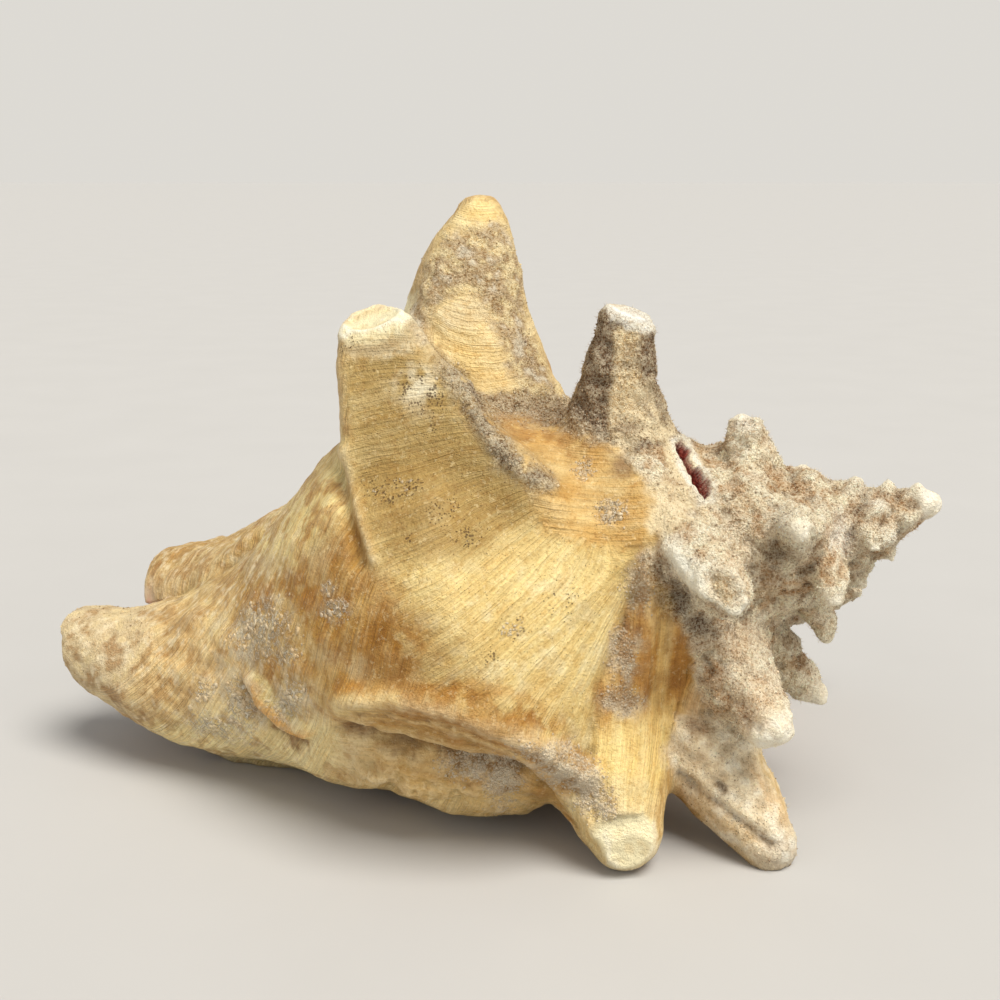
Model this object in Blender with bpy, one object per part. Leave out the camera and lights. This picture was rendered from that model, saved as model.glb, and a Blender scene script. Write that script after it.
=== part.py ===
"""Queen conch shell: one natural piece, grown around a straight columella.

The shell is described in a growth frame.  The axis runs from the tip of the
siphonal canal (s = 0) to the apex (s = LENGTH).  Around it, the growth angle
theta rises in the direction of growth, and its remainder phi says where on the
turn a point lies: 0 front, 90 top, 180 back, 270 underneath.
All driving dimensions are in millimetres; the finished mesh is in metres.
"""
import bpy
import bmesh
import math
import numpy as np
from mathutils import Vector
from mathutils.bvhtree import BVHTree

# ------------------------------------------------------------ dimensions (mm)
CANAL_END = np.array((-122.2, 30.0, 23.1))     # end of the siphonal canal on the axis
APEX = np.array((101.4, -20.0, 88.8))          # tip of the spire
LENGTH = float(np.linalg.norm(APEX - CANAL_END))
WALL = 6.0                                     # thickness of the last whorl and of the lip
BEND = 15.5                                    # how far the canal curls up
FLOOR = 8.0                                    # height of the ground the shell has worn flat on

# shoulder line: growth angle, distance of the shoulder below the apex, radius there
SHOULDER = np.array((
    (-2880, 2.0, 1.2), (-2520, 4.6, 2.4), (-2160, 7.6, 3.8), (-1800, 11.5, 5.6),
    (-1440, 17.0, 8.4), (-1080, 25.0, 12.8), (-720, 37.0, 20.0), (-455, 49.0, 29.0),
    (-372, 54.0, 32.5), (-275, 62.0, 36.0), (-180, 71.0, 43.0), (-95, 81.0, 49.0),
    (-60, 86.0, 52.0), (0, 102.0, 55.0), (60, 107.0, 54.5), (108, 104.0, 53.0),
    (180, 100.0, 50.0), (240, 98.0, 48.0)))
LAST = 215.0                                   # growth angle at which the shell ends

# side of the last whorl from the canal to the shoulder: height / shoulder height, radius / shoulder radius
SIDE_UNDER = np.array(((0.0, .13), (.04, .19), (.105, .26), (.18, .39), (.263, .49), (.36, .56), (.454, .64),
                       (.54, .75), (.615, .84), (.743, .98), (.86, 1.02), (1.0, 1.0)))
SIDE_TOP = np.array(((0.0, .16), (.04, .21), (.12, .24), (.20, .25), (.28, .27), (.36, .31), (.458, .40),
                     (.57, .54), (.66, .71), (.76, .885), (.88, .99), (1.0, 1.0)))
CALLUS = (58.0, 24.0, 274.0, 17.0, 5.2)         # thick glaze under the columella: s, spread, phi, spread, height

# spines: name, list of (x, y, z, half width) from inside the body to the tip
SPINES = {
    "tall":    ((4, 12, 76, 30), (-2.4, 20, 92, 24.5), (-6.6, 22, 108, 20.6), (-8.4, 24, 124, 17.2), (-7.4, 25, 138, 13.4),
                (-5.2, 25, 148.5, 8.8), (-4.6, 25, 155.4, 4.2)),
    "broad":   ((3, -8, 66, 27), (-8, -13, 85, 26), (-17, -14, 98, 20.5), (-22, -14, 109, 15.8), (-26, -13, 119, 12.0),
                (-28.6, -12, 127.5, 9.2), (-29.4, -11.6, 130.6, 7.4)),
    "crown":   ((28, -8, 86, 21), (27.6, -8, 100, 14.7), (27.6, -8, 110, 10.4), (28.2, -8, 119, 8.4), (29.1, -8, 126, 7.2),
                (29.6, -8, 131, 6.4)),
    "foot_a":  ((16, -8, 54, 27), (21, -23, 37, 20), (24.5, -32, 26.5, 15), (27.4, -39.5, 18, 11.2), (29, -44.5, 12.2, 8.2)),
    "foot_b":  ((38, -8, 50, 26), (45, -18, 34, 16.4), (52.3, -27, 24, 11.4), (59.4, -36, 15.5, 8.2), (63.8, -41.5, 8.8, 5.6)),
    # knobs of the turn before
    "knob_f":  ((38, -24, 80, 11), (40, -34, 81.5, 8.2), (43.5, -41, 80, 6.8), (47, -46, 76.5, 6.2), (50, -49.5, 73, 5.2)),
    "knob_g":  ((50, -20, 60, 12), (54.5, -31, 50, 8.4), (58.7, -40.5, 44.6, 6.4), (61, -45.2, 42, 4.9)),
    "knob_h":  ((58, -4, 58, 10), (67, -5, 48, 6.6), (75.5, -6, 38.5, 4.8), (80.5, -6, 33.5, 3.0)),
    "tip":     ((84, -16, 82.5, 8.4), (90, -17.6, 84.8, 6.6), (95.6, -18.8, 86.9, 4.8), (100.6, -19.9, 88.6, 3.1)),
    "knob_b1": ((30, 22, 88, 14), (30, 32, 98, 8.5), (31, 40, 104, 4.6)),
    "knob_b2": ((28, 28, 68, 16), (31, 46, 70, 9.5), (33, 58, 71, 5.0)),
    "knob_b3": ((34, 20, 50, 16), (40, 36, 36, 10), (45, 46, 26, 5.5)),
}
# flattened sides of the two large spines: direction around the horn, distance of the side
FACETS = {"broad": ((262, .74), (14, .78), (160, .78), (95, .95)),
          "tall": ((262, .93), (20, .93), (150, .93), (90, 1.0), (205, 1.0), (320, 1.0))}
# small knobs of the spire: x, y, z of the tip and its half width
SMALL = ((56.5, -12, 107, 4.4), (65, -40, 87, 4.0), (71, -10, 93.5, 3.0), (81.6, -15, 91.0, 2.2), (89.5, -17, 91.2, 1.7),
         (95.5, -18.5, 90.6, 1.3), (79, -15, 52, 3.2), (85.5, -18, 66, 2.4), (91, -20, 74, 1.8), (74, -38, 70, 3.0),
         (84, -32, 80, 2.2), (62, 14, 92, 4.2), (60, 22, 76, 4.4), (68, 18, 58, 4.2), (80, 2, 80, 2.4), (78, 2, 62, 2.8),
         (90, -10, 78, 1.8))


def lerp(table, x, column=1, ease=0.0):
    x = np.asarray(x, float)
    if ease:                                   # rounds off the corners between the table's rows
        return sum(np.interp(x + ease * k, table[:, 0], table[:, column]) * w
                   for k, w in ((-1, .2), (-.5, .2), (0, .2), (.5, .2), (1, .2)))
    return np.interp(x, table[:, 0], table[:, column])


def axes():
    a = (APEX - CANAL_END) / LENGTH
    up = np.array((0.0, 0.0, 1.0)) - a[2] * a
    up /= np.linalg.norm(up)
    return a, up, np.cross(a, up)              # along, top, front


AX, UP, FRONT = axes()


def world(s, r, phi_deg):
    phi = np.radians(phi_deg)
    s, r, phi = np.broadcast_arrays(s, r, phi)
    p = (CANAL_END + s[..., None] * AX + (r * np.cos(phi))[..., None] * FRONT
         + (r * np.sin(phi))[..., None] * UP)
    bend = np.clip(1.0 - s / 52.0, 0.0, 1.0) ** 2
    return p + (bend * BEND)[..., None] * UP   # the canal curls up


def whorl(s, theta):
    """Outer radius of the turn of the shell laid down at growth angle theta."""
    d = lerp(SHOULDER, theta, 1, 30.0)
    r_sh = lerp(SHOULDER, theta, 2, 30.0)
    s_sh = LENGTH - d
    dp = lerp(SHOULDER, theta - 360.0, 1, 30.0)
    rp = lerp(SHOULDER, theta - 360.0, 2, 30.0)
    s_su = LENGTH - dp * 1.16                  # suture just below the shoulder of the turn before
    t = np.clip(s / s_sh, 0.0, 1.0)
    mix = np.clip((theta + 75.0) / 150.0, 0.0, 1.0)
    mix = mix * mix * (3 - 2 * mix)
    side = r_sh * ((1 - mix) * lerp(SIDE_UNDER, t, 1, .05) + mix * lerp(SIDE_TOP, t, 1, .05))
    q = np.clip((s - s_sh) / np.maximum(s_su - s_sh, 1e-3), 0.0, 1.0)
    ramp = rp * 0.97 + (r_sh - rp * 0.97) * (1 - q) ** 1.25
    out = np.where(s <= s_sh, side, ramp)
    over = np.clip((s - s_su) / np.maximum(0.12 * dp, 0.5), 0.0, None)
    out = np.where(s > s_su, rp * 0.97 * (1.0 - over), out)
    return out


def body(s, phi):
    """Radius of the filled body: the outermost of all turns at this angle."""
    phi = np.mod(phi + 75.0, 360.0) - 75.0     # -75 .. 285
    best = np.full(np.broadcast(s, phi).shape, 0.35)
    th = np.broadcast_to(phi, best.shape)
    for n in range(0, 9):
        theta = th - 360.0 * n
        r = whorl(s, theta)
        if n == 0:
            fade = np.clip((LAST + 25.0 - theta) / 50.0, 0.0, 1.0)
            fade = fade * fade * (3 - 2 * fade)
            r = r * fade
        ok = theta > SHOULDER[0, 0]
        best = np.where(ok, np.maximum(best, r), best)
    s0, ds, p0, dp, high = CALLUS
    return best + high * np.exp(-((s - s0) / ds) ** 2 - ((phi - p0) / dp) ** 2)


# ------------------------------------------------------------ mesh helpers
def grid_solid(bm, rings):
    """Closed solid from a list of closed rings of points, with filled ends."""
    made = [[bm.verts.new(p) for p in ring] for ring in rings]
    n = len(made[0])
    for a, b in zip(made[:-1], made[1:]):
        for i in range(n):
            bm.faces.new((a[i], a[(i + 1) % n], b[(i + 1) % n], b[i]))
    for ring, flip in ((made[0], True), (made[-1], False)):
        c = bm.verts.new(sum((v.co for v in ring), Vector()) / n)
        for i in range(n):
            tri = (ring[i], ring[(i + 1) % n], c)
            bm.faces.new(tri[::-1] if flip else tri)
    return made


def body_rings(steps, around):
    s = np.concatenate((np.linspace(10.6, LENGTH - 34.0, int(steps * .78)),
                        np.linspace(LENGTH - 34.0, LENGTH - 0.4, int(steps * .40))[1:]))
    phi = np.linspace(0.0, 360.0, around, endpoint=False)
    ss, pp = np.meshgrid(s, phi, indexing="ij")
    return world(ss, body(ss, pp), pp)


def section(ang, sides, soft=9.0):
    """Rounded polygon: distance from the middle to the horn's surface, for each direction."""
    total = np.zeros(len(ang))
    for turn, dist in sides:
        total += np.clip(np.cos(ang - math.radians(turn)) / dist, 0, None) ** soft
    return total ** (-1.0 / soft)


def tube_rings(path, around=28, steps=26, squash=1.0, sides=None):
    """Rounded horn along a path of (x, y, z, half width)."""
    p = np.array(path, float)
    u = np.linspace(0, len(p) - 1, steps)
    c = np.stack([np.interp(u, range(len(p)), p[:, i]) for i in range(4)], 1)
    for _ in range(3):                         # ease the corners of the path
        c[1:-1] = (c[:-2] + 2 * c[1:-1] + c[2:]) / 4
    tan = np.gradient(c[:, :3], axis=0)
    tan /= np.linalg.norm(tan, axis=1)[:, None]
    ref = np.array((1.0, 0.0, 0.0))
    rings = []
    ang = np.linspace(0, 2 * math.pi, around, endpoint=False)
    form = section(ang, sides)[:, None] if sides else np.ones((around, 1))
    for q, t in zip(c, tan):
        x = ref - t * float(ref @ t)
        x /= np.linalg.norm(x)
        y = np.cross(t, x)
        rings.append(q[:3] + q[3] * form * (np.cos(ang)[:, None] * x + squash * np.sin(ang)[:, None] * y))
    last = rings[-1]                           # worn, gently domed end
    mid = last.mean(0)
    rings.append(mid + (last - mid) * 0.7 + tan[-1] * c[-1, 3] * 0.22)
    rings.append(mid + (last - mid) * 0.3 + tan[-1] * c[-1, 3] * 0.34)
    return rings


# slot broken through the crust: its two ends, the way in and its depth
SLOT_A = np.array((42.0, -15.5, 99.4))
SLOT_B = np.array((44.9, -23.9, 93.5))
SLOT_IN = np.array((-0.45, 0.42, -0.77))
SLOT_HALF = 1.9
SLOT_DEPTH = 9.0

# lip wing: s, back reach and height of its edge, back reach and height of its crest,
# back reach and height where it leaves the body (all from the axis)
WING = np.array((
    (21, 44, 2, 36, 18, 16, 13),
    (28, 58, -9, 41, 25, 12, 14),
    (38, 70, -25.0, 46, 25, 8, 16),
    (60, 79, -36.0, 54, 24, 6, 22),
    (90, 83, -38.9, 60, 28, 8, 36),
    (120, 86, -53.8, 64, 26, 12, 42),
    (150, 88, -55.1, 66, 20, 22, 34),
    (175, 87, -56, 66, 8, 28, 20),
    (195, 84, -51, 68, -8, 38, 4),
    (207, 80, -46, 68, -20, 50, -8),
    (216, 74, -42, 70, -28, 60, -16)), float)


def wing_curve(s, t):
    """Point (back, up) of the middle of the lip at height s; t from 0 (body) to 1 (edge)."""
    e = [float(lerp(WING, s, k, 14.0)) for k in range(1, 7)]
    p0 = np.array((e[4], e[5]))
    p2 = np.array((e[2], e[3]))
    p3 = np.array((e[0], e[1]))
    p1 = p0 + (p2 - p0) * 0.5 + np.array((0, 6.0))
    return ((1 - t) ** 3 * p0 + 3 * t * (1 - t) ** 2 * p1 + 3 * t * t * (1 - t) * p2 + t ** 3 * p3)


def back_point(s, b, u):
    s = float(s)
    bend = max(0.0, 1.0 - s / 52.0) ** 2
    return CANAL_END + s * AX - b * FRONT + (u + bend * BEND) * UP


def wing_rings(steps=46, along=26):
    rings = []
    for s in np.linspace(WING[0, 0], WING[-1, 0], steps):
        ts = np.linspace(0, 1, along)
        pts = np.array([wing_curve(s, t) for t in ts])
        tan = np.gradient(pts, axis=0)
        tan /= np.linalg.norm(tan, axis=1)[:, None]
        nor = np.stack((-tan[:, 1], tan[:, 0]), 1)
        end = min(1.0, (s - WING[0, 0]) / 10 + .25, (WING[-1, 0] - s) / 10 + .25)
        half = WALL * .5 * end * np.ones(along)
        half *= np.clip((1.05 - ts) / .09, .66, 1.0)
        outer = pts + nor * half[:, None]
        inner = pts - nor * half[:, None]
        loop = np.concatenate((outer, inner[::-1]))
        rings.append(np.array([back_point(s, b, u) for b, u in loop]))
    return rings


def hollow_rings(steps=40, n=22):
    """Inside of the last turn: between the lip and the turn it wraps, open underneath."""
    rings = []
    for s in np.linspace(24.0, 186.0, steps):
        mid = np.array([wing_curve(s, t) for t in np.linspace(0.16, 1.0, n)])
        tan = np.gradient(mid, axis=0)
        tan /= np.linalg.norm(tan, axis=1)[:, None]
        nor = np.stack((-tan[:, 1], tan[:, 0]), 1)
        k = min(1.0, (s - 24.0) / 16.0, (186.0 - s) / 20.0)
        shrink = 1.0 - math.sqrt(max(0.0, 1 - (1 - k) ** 2))
        roof = mid - nor * (WALL * .5 + .3 + 14.0 * shrink)
        roof[-1] += tan[-1] * 9.0
        drop = roof[-1] + np.array((4.0, -30.0))
        phis = np.linspace(262.0, 118.0, n)
        rb = body(np.full(n, s), phis - 360.0 * (phis > 285))
        core = []
        for ph, r0 in zip(phis, rb):
            th = ph - 360.0
            rp = float(whorl(np.array(s), np.array(th)))
            f = np.clip((262.0 - ph) / 60.0, 0, 1)
            r = max(4.0, rp * (1.02 - .10 * f)) + 10.0 * shrink
            core.append((-r * math.cos(math.radians(ph)), r * math.sin(math.radians(ph))))
        core = np.array(core)
        low = core[0] + np.array((-2.0, -30.0))
        loop = np.concatenate((roof, drop[None], low[None], core))
        rings.append(np.array([back_point(s, b, u) for b, u in loop]))
    return rings


def object_from(name, ring_sets):
    bm = bmesh.new()
    for rings in ring_sets:
        grid_solid(bm, [[Vector(p) for p in ring] for ring in rings])
    bmesh.ops.recalc_face_normals(bm, faces=bm.faces)
    me = bpy.data.meshes.new(name)
    bm.to_mesh(me)
    bm.free()
    ob = bpy.data.objects.new(name, me)
    bpy.context.scene.collection.objects.link(ob)
    return ob


def settle(ob):
    """Freeze the object's modifiers into its mesh."""
    dg = bpy.context.evaluated_depsgraph_get()
    dg.update()
    me = bpy.data.meshes.new_from_object(ob.evaluated_get(dg))
    old = ob.data
    ob.modifiers.clear()
    ob.data = me
    bpy.data.meshes.remove(old)


def remesh(ob, voxel, smooth):
    m = ob.modifiers.new("Grow", "REMESH")
    m.mode = "VOXEL"
    m.voxel_size = voxel
    if smooth:
        q = ob.modifiers.new("Ease", "SMOOTH")
        q.factor = 0.5
        q.iterations = smooth
    settle(ob)


def knob_paths():
    """Blunt knobs of the spire, each rising from the axis side of its turn."""
    out = []
    for x, y, z, w in SMALL:
        tip = np.array((x, y, z), float)
        s = float((tip - CANAL_END) @ AX)
        root = CANAL_END + (s - 3.0 * w / 4.0) * AX
        root = root + (tip - root) * 0.45
        mid = (root + tip) / 2
        out.append([(*root, w * 1.9), (*mid, w * 1.35), (*(mid * .3 + tip * .7), w * .95), (*tip, w * .6)])
    return out


def difference(ob, cutter):
    m = ob.modifiers.new("Cut", "BOOLEAN")
    m.operation = "DIFFERENCE"
    m.solver = "EXACT"
    m.object = cutter
    settle(ob)
    bpy.data.objects.remove(cutter, do_unlink=True)


def slot_rings():
    """Chipped slot under the crown spine: runs a short way into the wall."""
    rings = []
    inward = SLOT_IN / np.linalg.norm(SLOT_IN)
    along = SLOT_B - SLOT_A
    length = float(np.linalg.norm(along))
    along /= length
    across = np.cross(inward, along)
    ang = np.linspace(0, 2 * math.pi, 18, endpoint=False)
    for depth, grow in ((-7.0, 1.2), (0.0, 1.0), (4.0, 0.95), (SLOT_DEPTH, 0.8)):
        c = (SLOT_A + SLOT_B) / 2 + inward * depth
        wide = SLOT_HALF * grow * (1 + 0.25 * np.cos(2 * ang))
        rings.append(c + (np.cos(ang) * (length / 2 + 2.0) * grow)[:, None] * along
                     + (np.sin(ang) * wide)[:, None] * across)
    return rings


def wear_flat(ob, height):
    """Wear the lowest points flat on the ground the shell lies on."""
    bm = bmesh.new()
    bm.from_mesh(ob.data)
    bmesh.ops.bisect_plane(bm, geom=bm.verts[:] + bm.edges[:] + bm.faces[:], dist=0.02,
                           plane_co=(0, 0, height), plane_no=(0, 0, -1), clear_outer=True)
    for v in bm.verts:
        if v.co.z < height + 0.03:
            v.co.z = height
    bmesh.ops.dissolve_degenerate(bm, edges=bm.edges[:], dist=0.001)
    rim = [e for e in bm.edges if e.is_boundary]
    bmesh.ops.holes_fill(bm, edges=rim, sides=0)
    bmesh.ops.triangulate(bm, faces=[f for f in bm.faces if len(f.verts) > 3])
    bmesh.ops.recalc_face_normals(bm, faces=bm.faces)
    bm.to_mesh(ob.data)
    bm.free()


def build(voxel=1.7, smooth=5, faces=7800):
    ob = object_from("shell", [body_rings(80, 96), wing_rings()] + [tube_rings(p, sides=FACETS.get(k)) for k, p in SPINES.items()]
                     + [tube_rings(p, 14, 10) for p in knob_paths()])
    remesh(ob, voxel, 2)
    mouth = object_from("mouth", [hollow_rings()])
    remesh(mouth, voxel, 3)
    difference(ob, mouth)
    difference(ob, object_from("slot", [slot_rings()]))
    remesh(ob, voxel, smooth)
    return ob


def reduce_faces(ob, faces):
    m = ob.modifiers.new("Facets", "TRIANGULATE")
    settle(ob)
    m = ob.modifiers.new("Fewer", "DECIMATE")
    m.ratio = faces / max(1, len(ob.data.polygons))
    settle(ob)


def place(ob):
    """Millimetres to metres, origin under the middle of the bounding box."""
    co = np.empty(len(ob.data.vertices) * 3)
    ob.data.vertices.foreach_get("co", co)
    co = co.reshape(-1, 3)
    low, high = co.min(0), co.max(0)
    shift = np.array(((low[0] + high[0]) / 2, (low[1] + high[1]) / 2, low[2]))
    ob.data.vertices.foreach_set("co", ((co - shift) * 0.001).ravel())
    ob.data.update()
    return shift


def material():
    mat = bpy.data.materials.new("shell")
    mat.use_nodes = True
    b = mat.node_tree.nodes["Principled BSDF"]
    b.inputs["Base Color"].default_value = (0.50, 0.36, 0.19, 1.0)
    b.inputs["Roughness"].default_value = 0.62
    b.inputs["Metallic"].default_value = 0.0
    mat.diffuse_color = (0.50, 0.36, 0.19, 1.0)
    return mat


def clear():
    for ob in list(bpy.data.objects):
        bpy.data.objects.remove(ob, do_unlink=True)


def main():
    clear()
    ob = build()
    reduce_faces(ob, 7800)
    wear_flat(ob, FLOOR)
    place(ob)
    ob.data.materials.clear()
    ob.data.materials.append(material())
    for f in ob.data.polygons:
        f.use_smooth = True
    ob.data.set_sharp_from_angle(angle=math.radians(55))


if __name__ == "__main__":
    main()
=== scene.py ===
import bpy
import bmesh
import math
import numpy as np
from mathutils import Vector, Matrix
from mathutils.bvhtree import BVHTree

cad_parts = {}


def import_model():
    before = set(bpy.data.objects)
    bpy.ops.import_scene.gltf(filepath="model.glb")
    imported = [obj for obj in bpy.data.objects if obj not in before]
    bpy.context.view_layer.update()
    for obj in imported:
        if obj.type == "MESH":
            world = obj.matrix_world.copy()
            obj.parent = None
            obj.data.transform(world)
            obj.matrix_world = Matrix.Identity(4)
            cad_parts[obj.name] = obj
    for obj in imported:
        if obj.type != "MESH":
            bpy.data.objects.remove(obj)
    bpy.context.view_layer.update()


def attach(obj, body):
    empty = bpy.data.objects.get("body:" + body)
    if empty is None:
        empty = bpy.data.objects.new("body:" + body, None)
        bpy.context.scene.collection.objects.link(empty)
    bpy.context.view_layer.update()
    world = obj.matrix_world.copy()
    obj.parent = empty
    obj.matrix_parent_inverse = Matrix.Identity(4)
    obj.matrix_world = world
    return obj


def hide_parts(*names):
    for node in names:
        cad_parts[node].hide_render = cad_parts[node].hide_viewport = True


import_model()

# ============================================================ growth form (mm)
CANAL_END = np.array((-122.2, 30.0, 23.1))     # end of the siphonal canal on the axis
APEX = np.array((101.4, -20.0, 88.8))          # tip of the spire
LENGTH = float(np.linalg.norm(APEX - CANAL_END))
WALL = 6.0                                     # thickness of the last whorl and of the lip
BEND = 15.5                                    # how far the canal curls up
FLOOR = 8.0                                    # height of the ground the shell has worn flat on

# shoulder line: growth angle, distance of the shoulder below the apex, radius there
SHOULDER = np.array((
    (-2880, 2.0, 1.2), (-2520, 4.6, 2.4), (-2160, 7.6, 3.8), (-1800, 11.5, 5.6),
    (-1440, 17.0, 8.4), (-1080, 25.0, 12.8), (-720, 37.0, 20.0), (-455, 49.0, 29.0),
    (-372, 54.0, 32.5), (-275, 62.0, 36.0), (-180, 71.0, 43.0), (-95, 81.0, 49.0),
    (-60, 86.0, 52.0), (0, 102.0, 55.0), (60, 107.0, 54.5), (108, 104.0, 53.0),
    (180, 100.0, 50.0), (240, 98.0, 48.0)))
LAST = 215.0                                   # growth angle at which the shell ends

# side of the last whorl from the canal to the shoulder: height / shoulder height, radius / shoulder radius
SIDE_UNDER = np.array(((0.0, .13), (.04, .19), (.105, .26), (.18, .39), (.263, .49), (.36, .56), (.454, .64),
                       (.54, .75), (.615, .84), (.743, .98), (.86, 1.02), (1.0, 1.0)))
SIDE_TOP = np.array(((0.0, .16), (.04, .21), (.12, .24), (.20, .25), (.28, .27), (.36, .31), (.458, .40),
                     (.57, .54), (.66, .71), (.76, .885), (.88, .99), (1.0, 1.0)))
CALLUS = (58.0, 24.0, 274.0, 17.0, 5.2)         # thick glaze under the columella: s, spread, phi, spread, height

# spines: name, list of (x, y, z, half width) from inside the body to the tip
SPINES = {
    "tall":    ((4, 12, 76, 30), (-2.4, 20, 92, 24.5), (-6.6, 22, 108, 20.6), (-8.4, 24, 124, 17.2), (-7.4, 25, 138, 13.4),
                (-5.2, 25, 148.5, 8.8), (-4.6, 25, 155.4, 4.2)),
    "broad":   ((3, -8, 66, 27), (-8, -13, 85, 26), (-17, -14, 98, 20.5), (-22, -14, 109, 15.8), (-26, -13, 119, 12.0),
                (-28.6, -12, 127.5, 9.2), (-29.4, -11.6, 130.6, 7.4)),
    "crown":   ((28, -8, 86, 21), (27.6, -8, 100, 14.7), (27.6, -8, 110, 10.4), (28.2, -8, 119, 8.4), (29.1, -8, 126, 7.2),
                (29.6, -8, 131, 6.4)),
    "foot_a":  ((16, -8, 54, 27), (21, -23, 37, 20), (24.5, -32, 26.5, 15), (27.4, -39.5, 18, 11.2), (29, -44.5, 12.2, 8.2)),
    "foot_b":  ((38, -8, 50, 26), (45, -18, 34, 16.4), (52.3, -27, 24, 11.4), (59.4, -36, 15.5, 8.2), (63.8, -41.5, 8.8, 5.6)),
    # knobs of the turn before
    "knob_f":  ((38, -24, 80, 11), (40, -34, 81.5, 8.2), (43.5, -41, 80, 6.8), (47, -46, 76.5, 6.2), (50, -49.5, 73, 5.2)),
    "knob_g":  ((50, -20, 60, 12), (54.5, -31, 50, 8.4), (58.7, -40.5, 44.6, 6.4), (61, -45.2, 42, 4.9)),
    "knob_h":  ((58, -4, 58, 10), (67, -5, 48, 6.6), (75.5, -6, 38.5, 4.8), (80.5, -6, 33.5, 3.0)),
    "tip":     ((84, -16, 82.5, 8.4), (90, -17.6, 84.8, 6.6), (95.6, -18.8, 86.9, 4.8), (100.6, -19.9, 88.6, 3.1)),
    "knob_b1": ((30, 22, 88, 14), (30, 32, 98, 8.5), (31, 40, 104, 4.6)),
    "knob_b2": ((28, 28, 68, 16), (31, 46, 70, 9.5), (33, 58, 71, 5.0)),
    "knob_b3": ((34, 20, 50, 16), (40, 36, 36, 10), (45, 46, 26, 5.5)),
}
# flattened sides of the two large spines: direction around the horn, distance of the side
FACETS = {"broad": ((262, .74), (14, .78), (160, .78), (95, .95)),
          "tall": ((262, .93), (20, .93), (150, .93), (90, 1.0), (205, 1.0), (320, 1.0))}
# small knobs of the spire: x, y, z of the tip and its half width
SMALL = ((56.5, -12, 107, 4.4), (65, -40, 87, 4.0), (71, -10, 93.5, 3.0), (81.6, -15, 91.0, 2.2), (89.5, -17, 91.2, 1.7),
         (95.5, -18.5, 90.6, 1.3), (79, -15, 52, 3.2), (85.5, -18, 66, 2.4), (91, -20, 74, 1.8), (74, -38, 70, 3.0),
         (84, -32, 80, 2.2), (62, 14, 92, 4.2), (60, 22, 76, 4.4), (68, 18, 58, 4.2), (80, 2, 80, 2.4), (78, 2, 62, 2.8),
         (90, -10, 78, 1.8))


def lerp(table, x, column=1, ease=0.0):
    x = np.asarray(x, float)
    if ease:                                   # rounds off the corners between the table's rows
        return sum(np.interp(x + ease * k, table[:, 0], table[:, column]) * w
                   for k, w in ((-1, .2), (-.5, .2), (0, .2), (.5, .2), (1, .2)))
    return np.interp(x, table[:, 0], table[:, column])


def axes():
    a = (APEX - CANAL_END) / LENGTH
    up = np.array((0.0, 0.0, 1.0)) - a[2] * a
    up /= np.linalg.norm(up)
    return a, up, np.cross(a, up)              # along, top, front


AX, UP, FRONT = axes()


def world(s, r, phi_deg):
    phi = np.radians(phi_deg)
    s, r, phi = np.broadcast_arrays(s, r, phi)
    p = (CANAL_END + s[..., None] * AX + (r * np.cos(phi))[..., None] * FRONT
         + (r * np.sin(phi))[..., None] * UP)
    bend = np.clip(1.0 - s / 52.0, 0.0, 1.0) ** 2
    return p + (bend * BEND)[..., None] * UP   # the canal curls up


def whorl(s, theta):
    """Outer radius of the turn of the shell laid down at growth angle theta."""
    d = lerp(SHOULDER, theta, 1, 30.0)
    r_sh = lerp(SHOULDER, theta, 2, 30.0)
    s_sh = LENGTH - d
    dp = lerp(SHOULDER, theta - 360.0, 1, 30.0)
    rp = lerp(SHOULDER, theta - 360.0, 2, 30.0)
    s_su = LENGTH - dp * 1.16                  # suture just below the shoulder of the turn before
    t = np.clip(s / s_sh, 0.0, 1.0)
    mix = np.clip((theta + 75.0) / 150.0, 0.0, 1.0)
    mix = mix * mix * (3 - 2 * mix)
    side = r_sh * ((1 - mix) * lerp(SIDE_UNDER, t, 1, .05) + mix * lerp(SIDE_TOP, t, 1, .05))
    q = np.clip((s - s_sh) / np.maximum(s_su - s_sh, 1e-3), 0.0, 1.0)
    ramp = rp * 0.97 + (r_sh - rp * 0.97) * (1 - q) ** 1.25
    out = np.where(s <= s_sh, side, ramp)
    over = np.clip((s - s_su) / np.maximum(0.12 * dp, 0.5), 0.0, None)
    out = np.where(s > s_su, rp * 0.97 * (1.0 - over), out)
    return out


def body(s, phi):
    """Radius of the filled body: the outermost of all turns at this angle."""
    phi = np.mod(phi + 75.0, 360.0) - 75.0     # -75 .. 285
    best = np.full(np.broadcast(s, phi).shape, 0.35)
    th = np.broadcast_to(phi, best.shape)
    for n in range(0, 9):
        theta = th - 360.0 * n
        r = whorl(s, theta)
        if n == 0:
            fade = np.clip((LAST + 25.0 - theta) / 50.0, 0.0, 1.0)
            fade = fade * fade * (3 - 2 * fade)
            r = r * fade
        ok = theta > SHOULDER[0, 0]
        best = np.where(ok, np.maximum(best, r), best)
    s0, ds, p0, dp, high = CALLUS
    return best + high * np.exp(-((s - s0) / ds) ** 2 - ((phi - p0) / dp) ** 2)


# ------------------------------------------------------------ mesh helpers
def grid_solid(bm, rings):
    """Closed solid from a list of closed rings of points, with filled ends."""
    made = [[bm.verts.new(p) for p in ring] for ring in rings]
    n = len(made[0])
    for a, b in zip(made[:-1], made[1:]):
        for i in range(n):
            bm.faces.new((a[i], a[(i + 1) % n], b[(i + 1) % n], b[i]))
    for ring, flip in ((made[0], True), (made[-1], False)):
        c = bm.verts.new(sum((v.co for v in ring), Vector()) / n)
        for i in range(n):
            tri = (ring[i], ring[(i + 1) % n], c)
            bm.faces.new(tri[::-1] if flip else tri)
    return made


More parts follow.
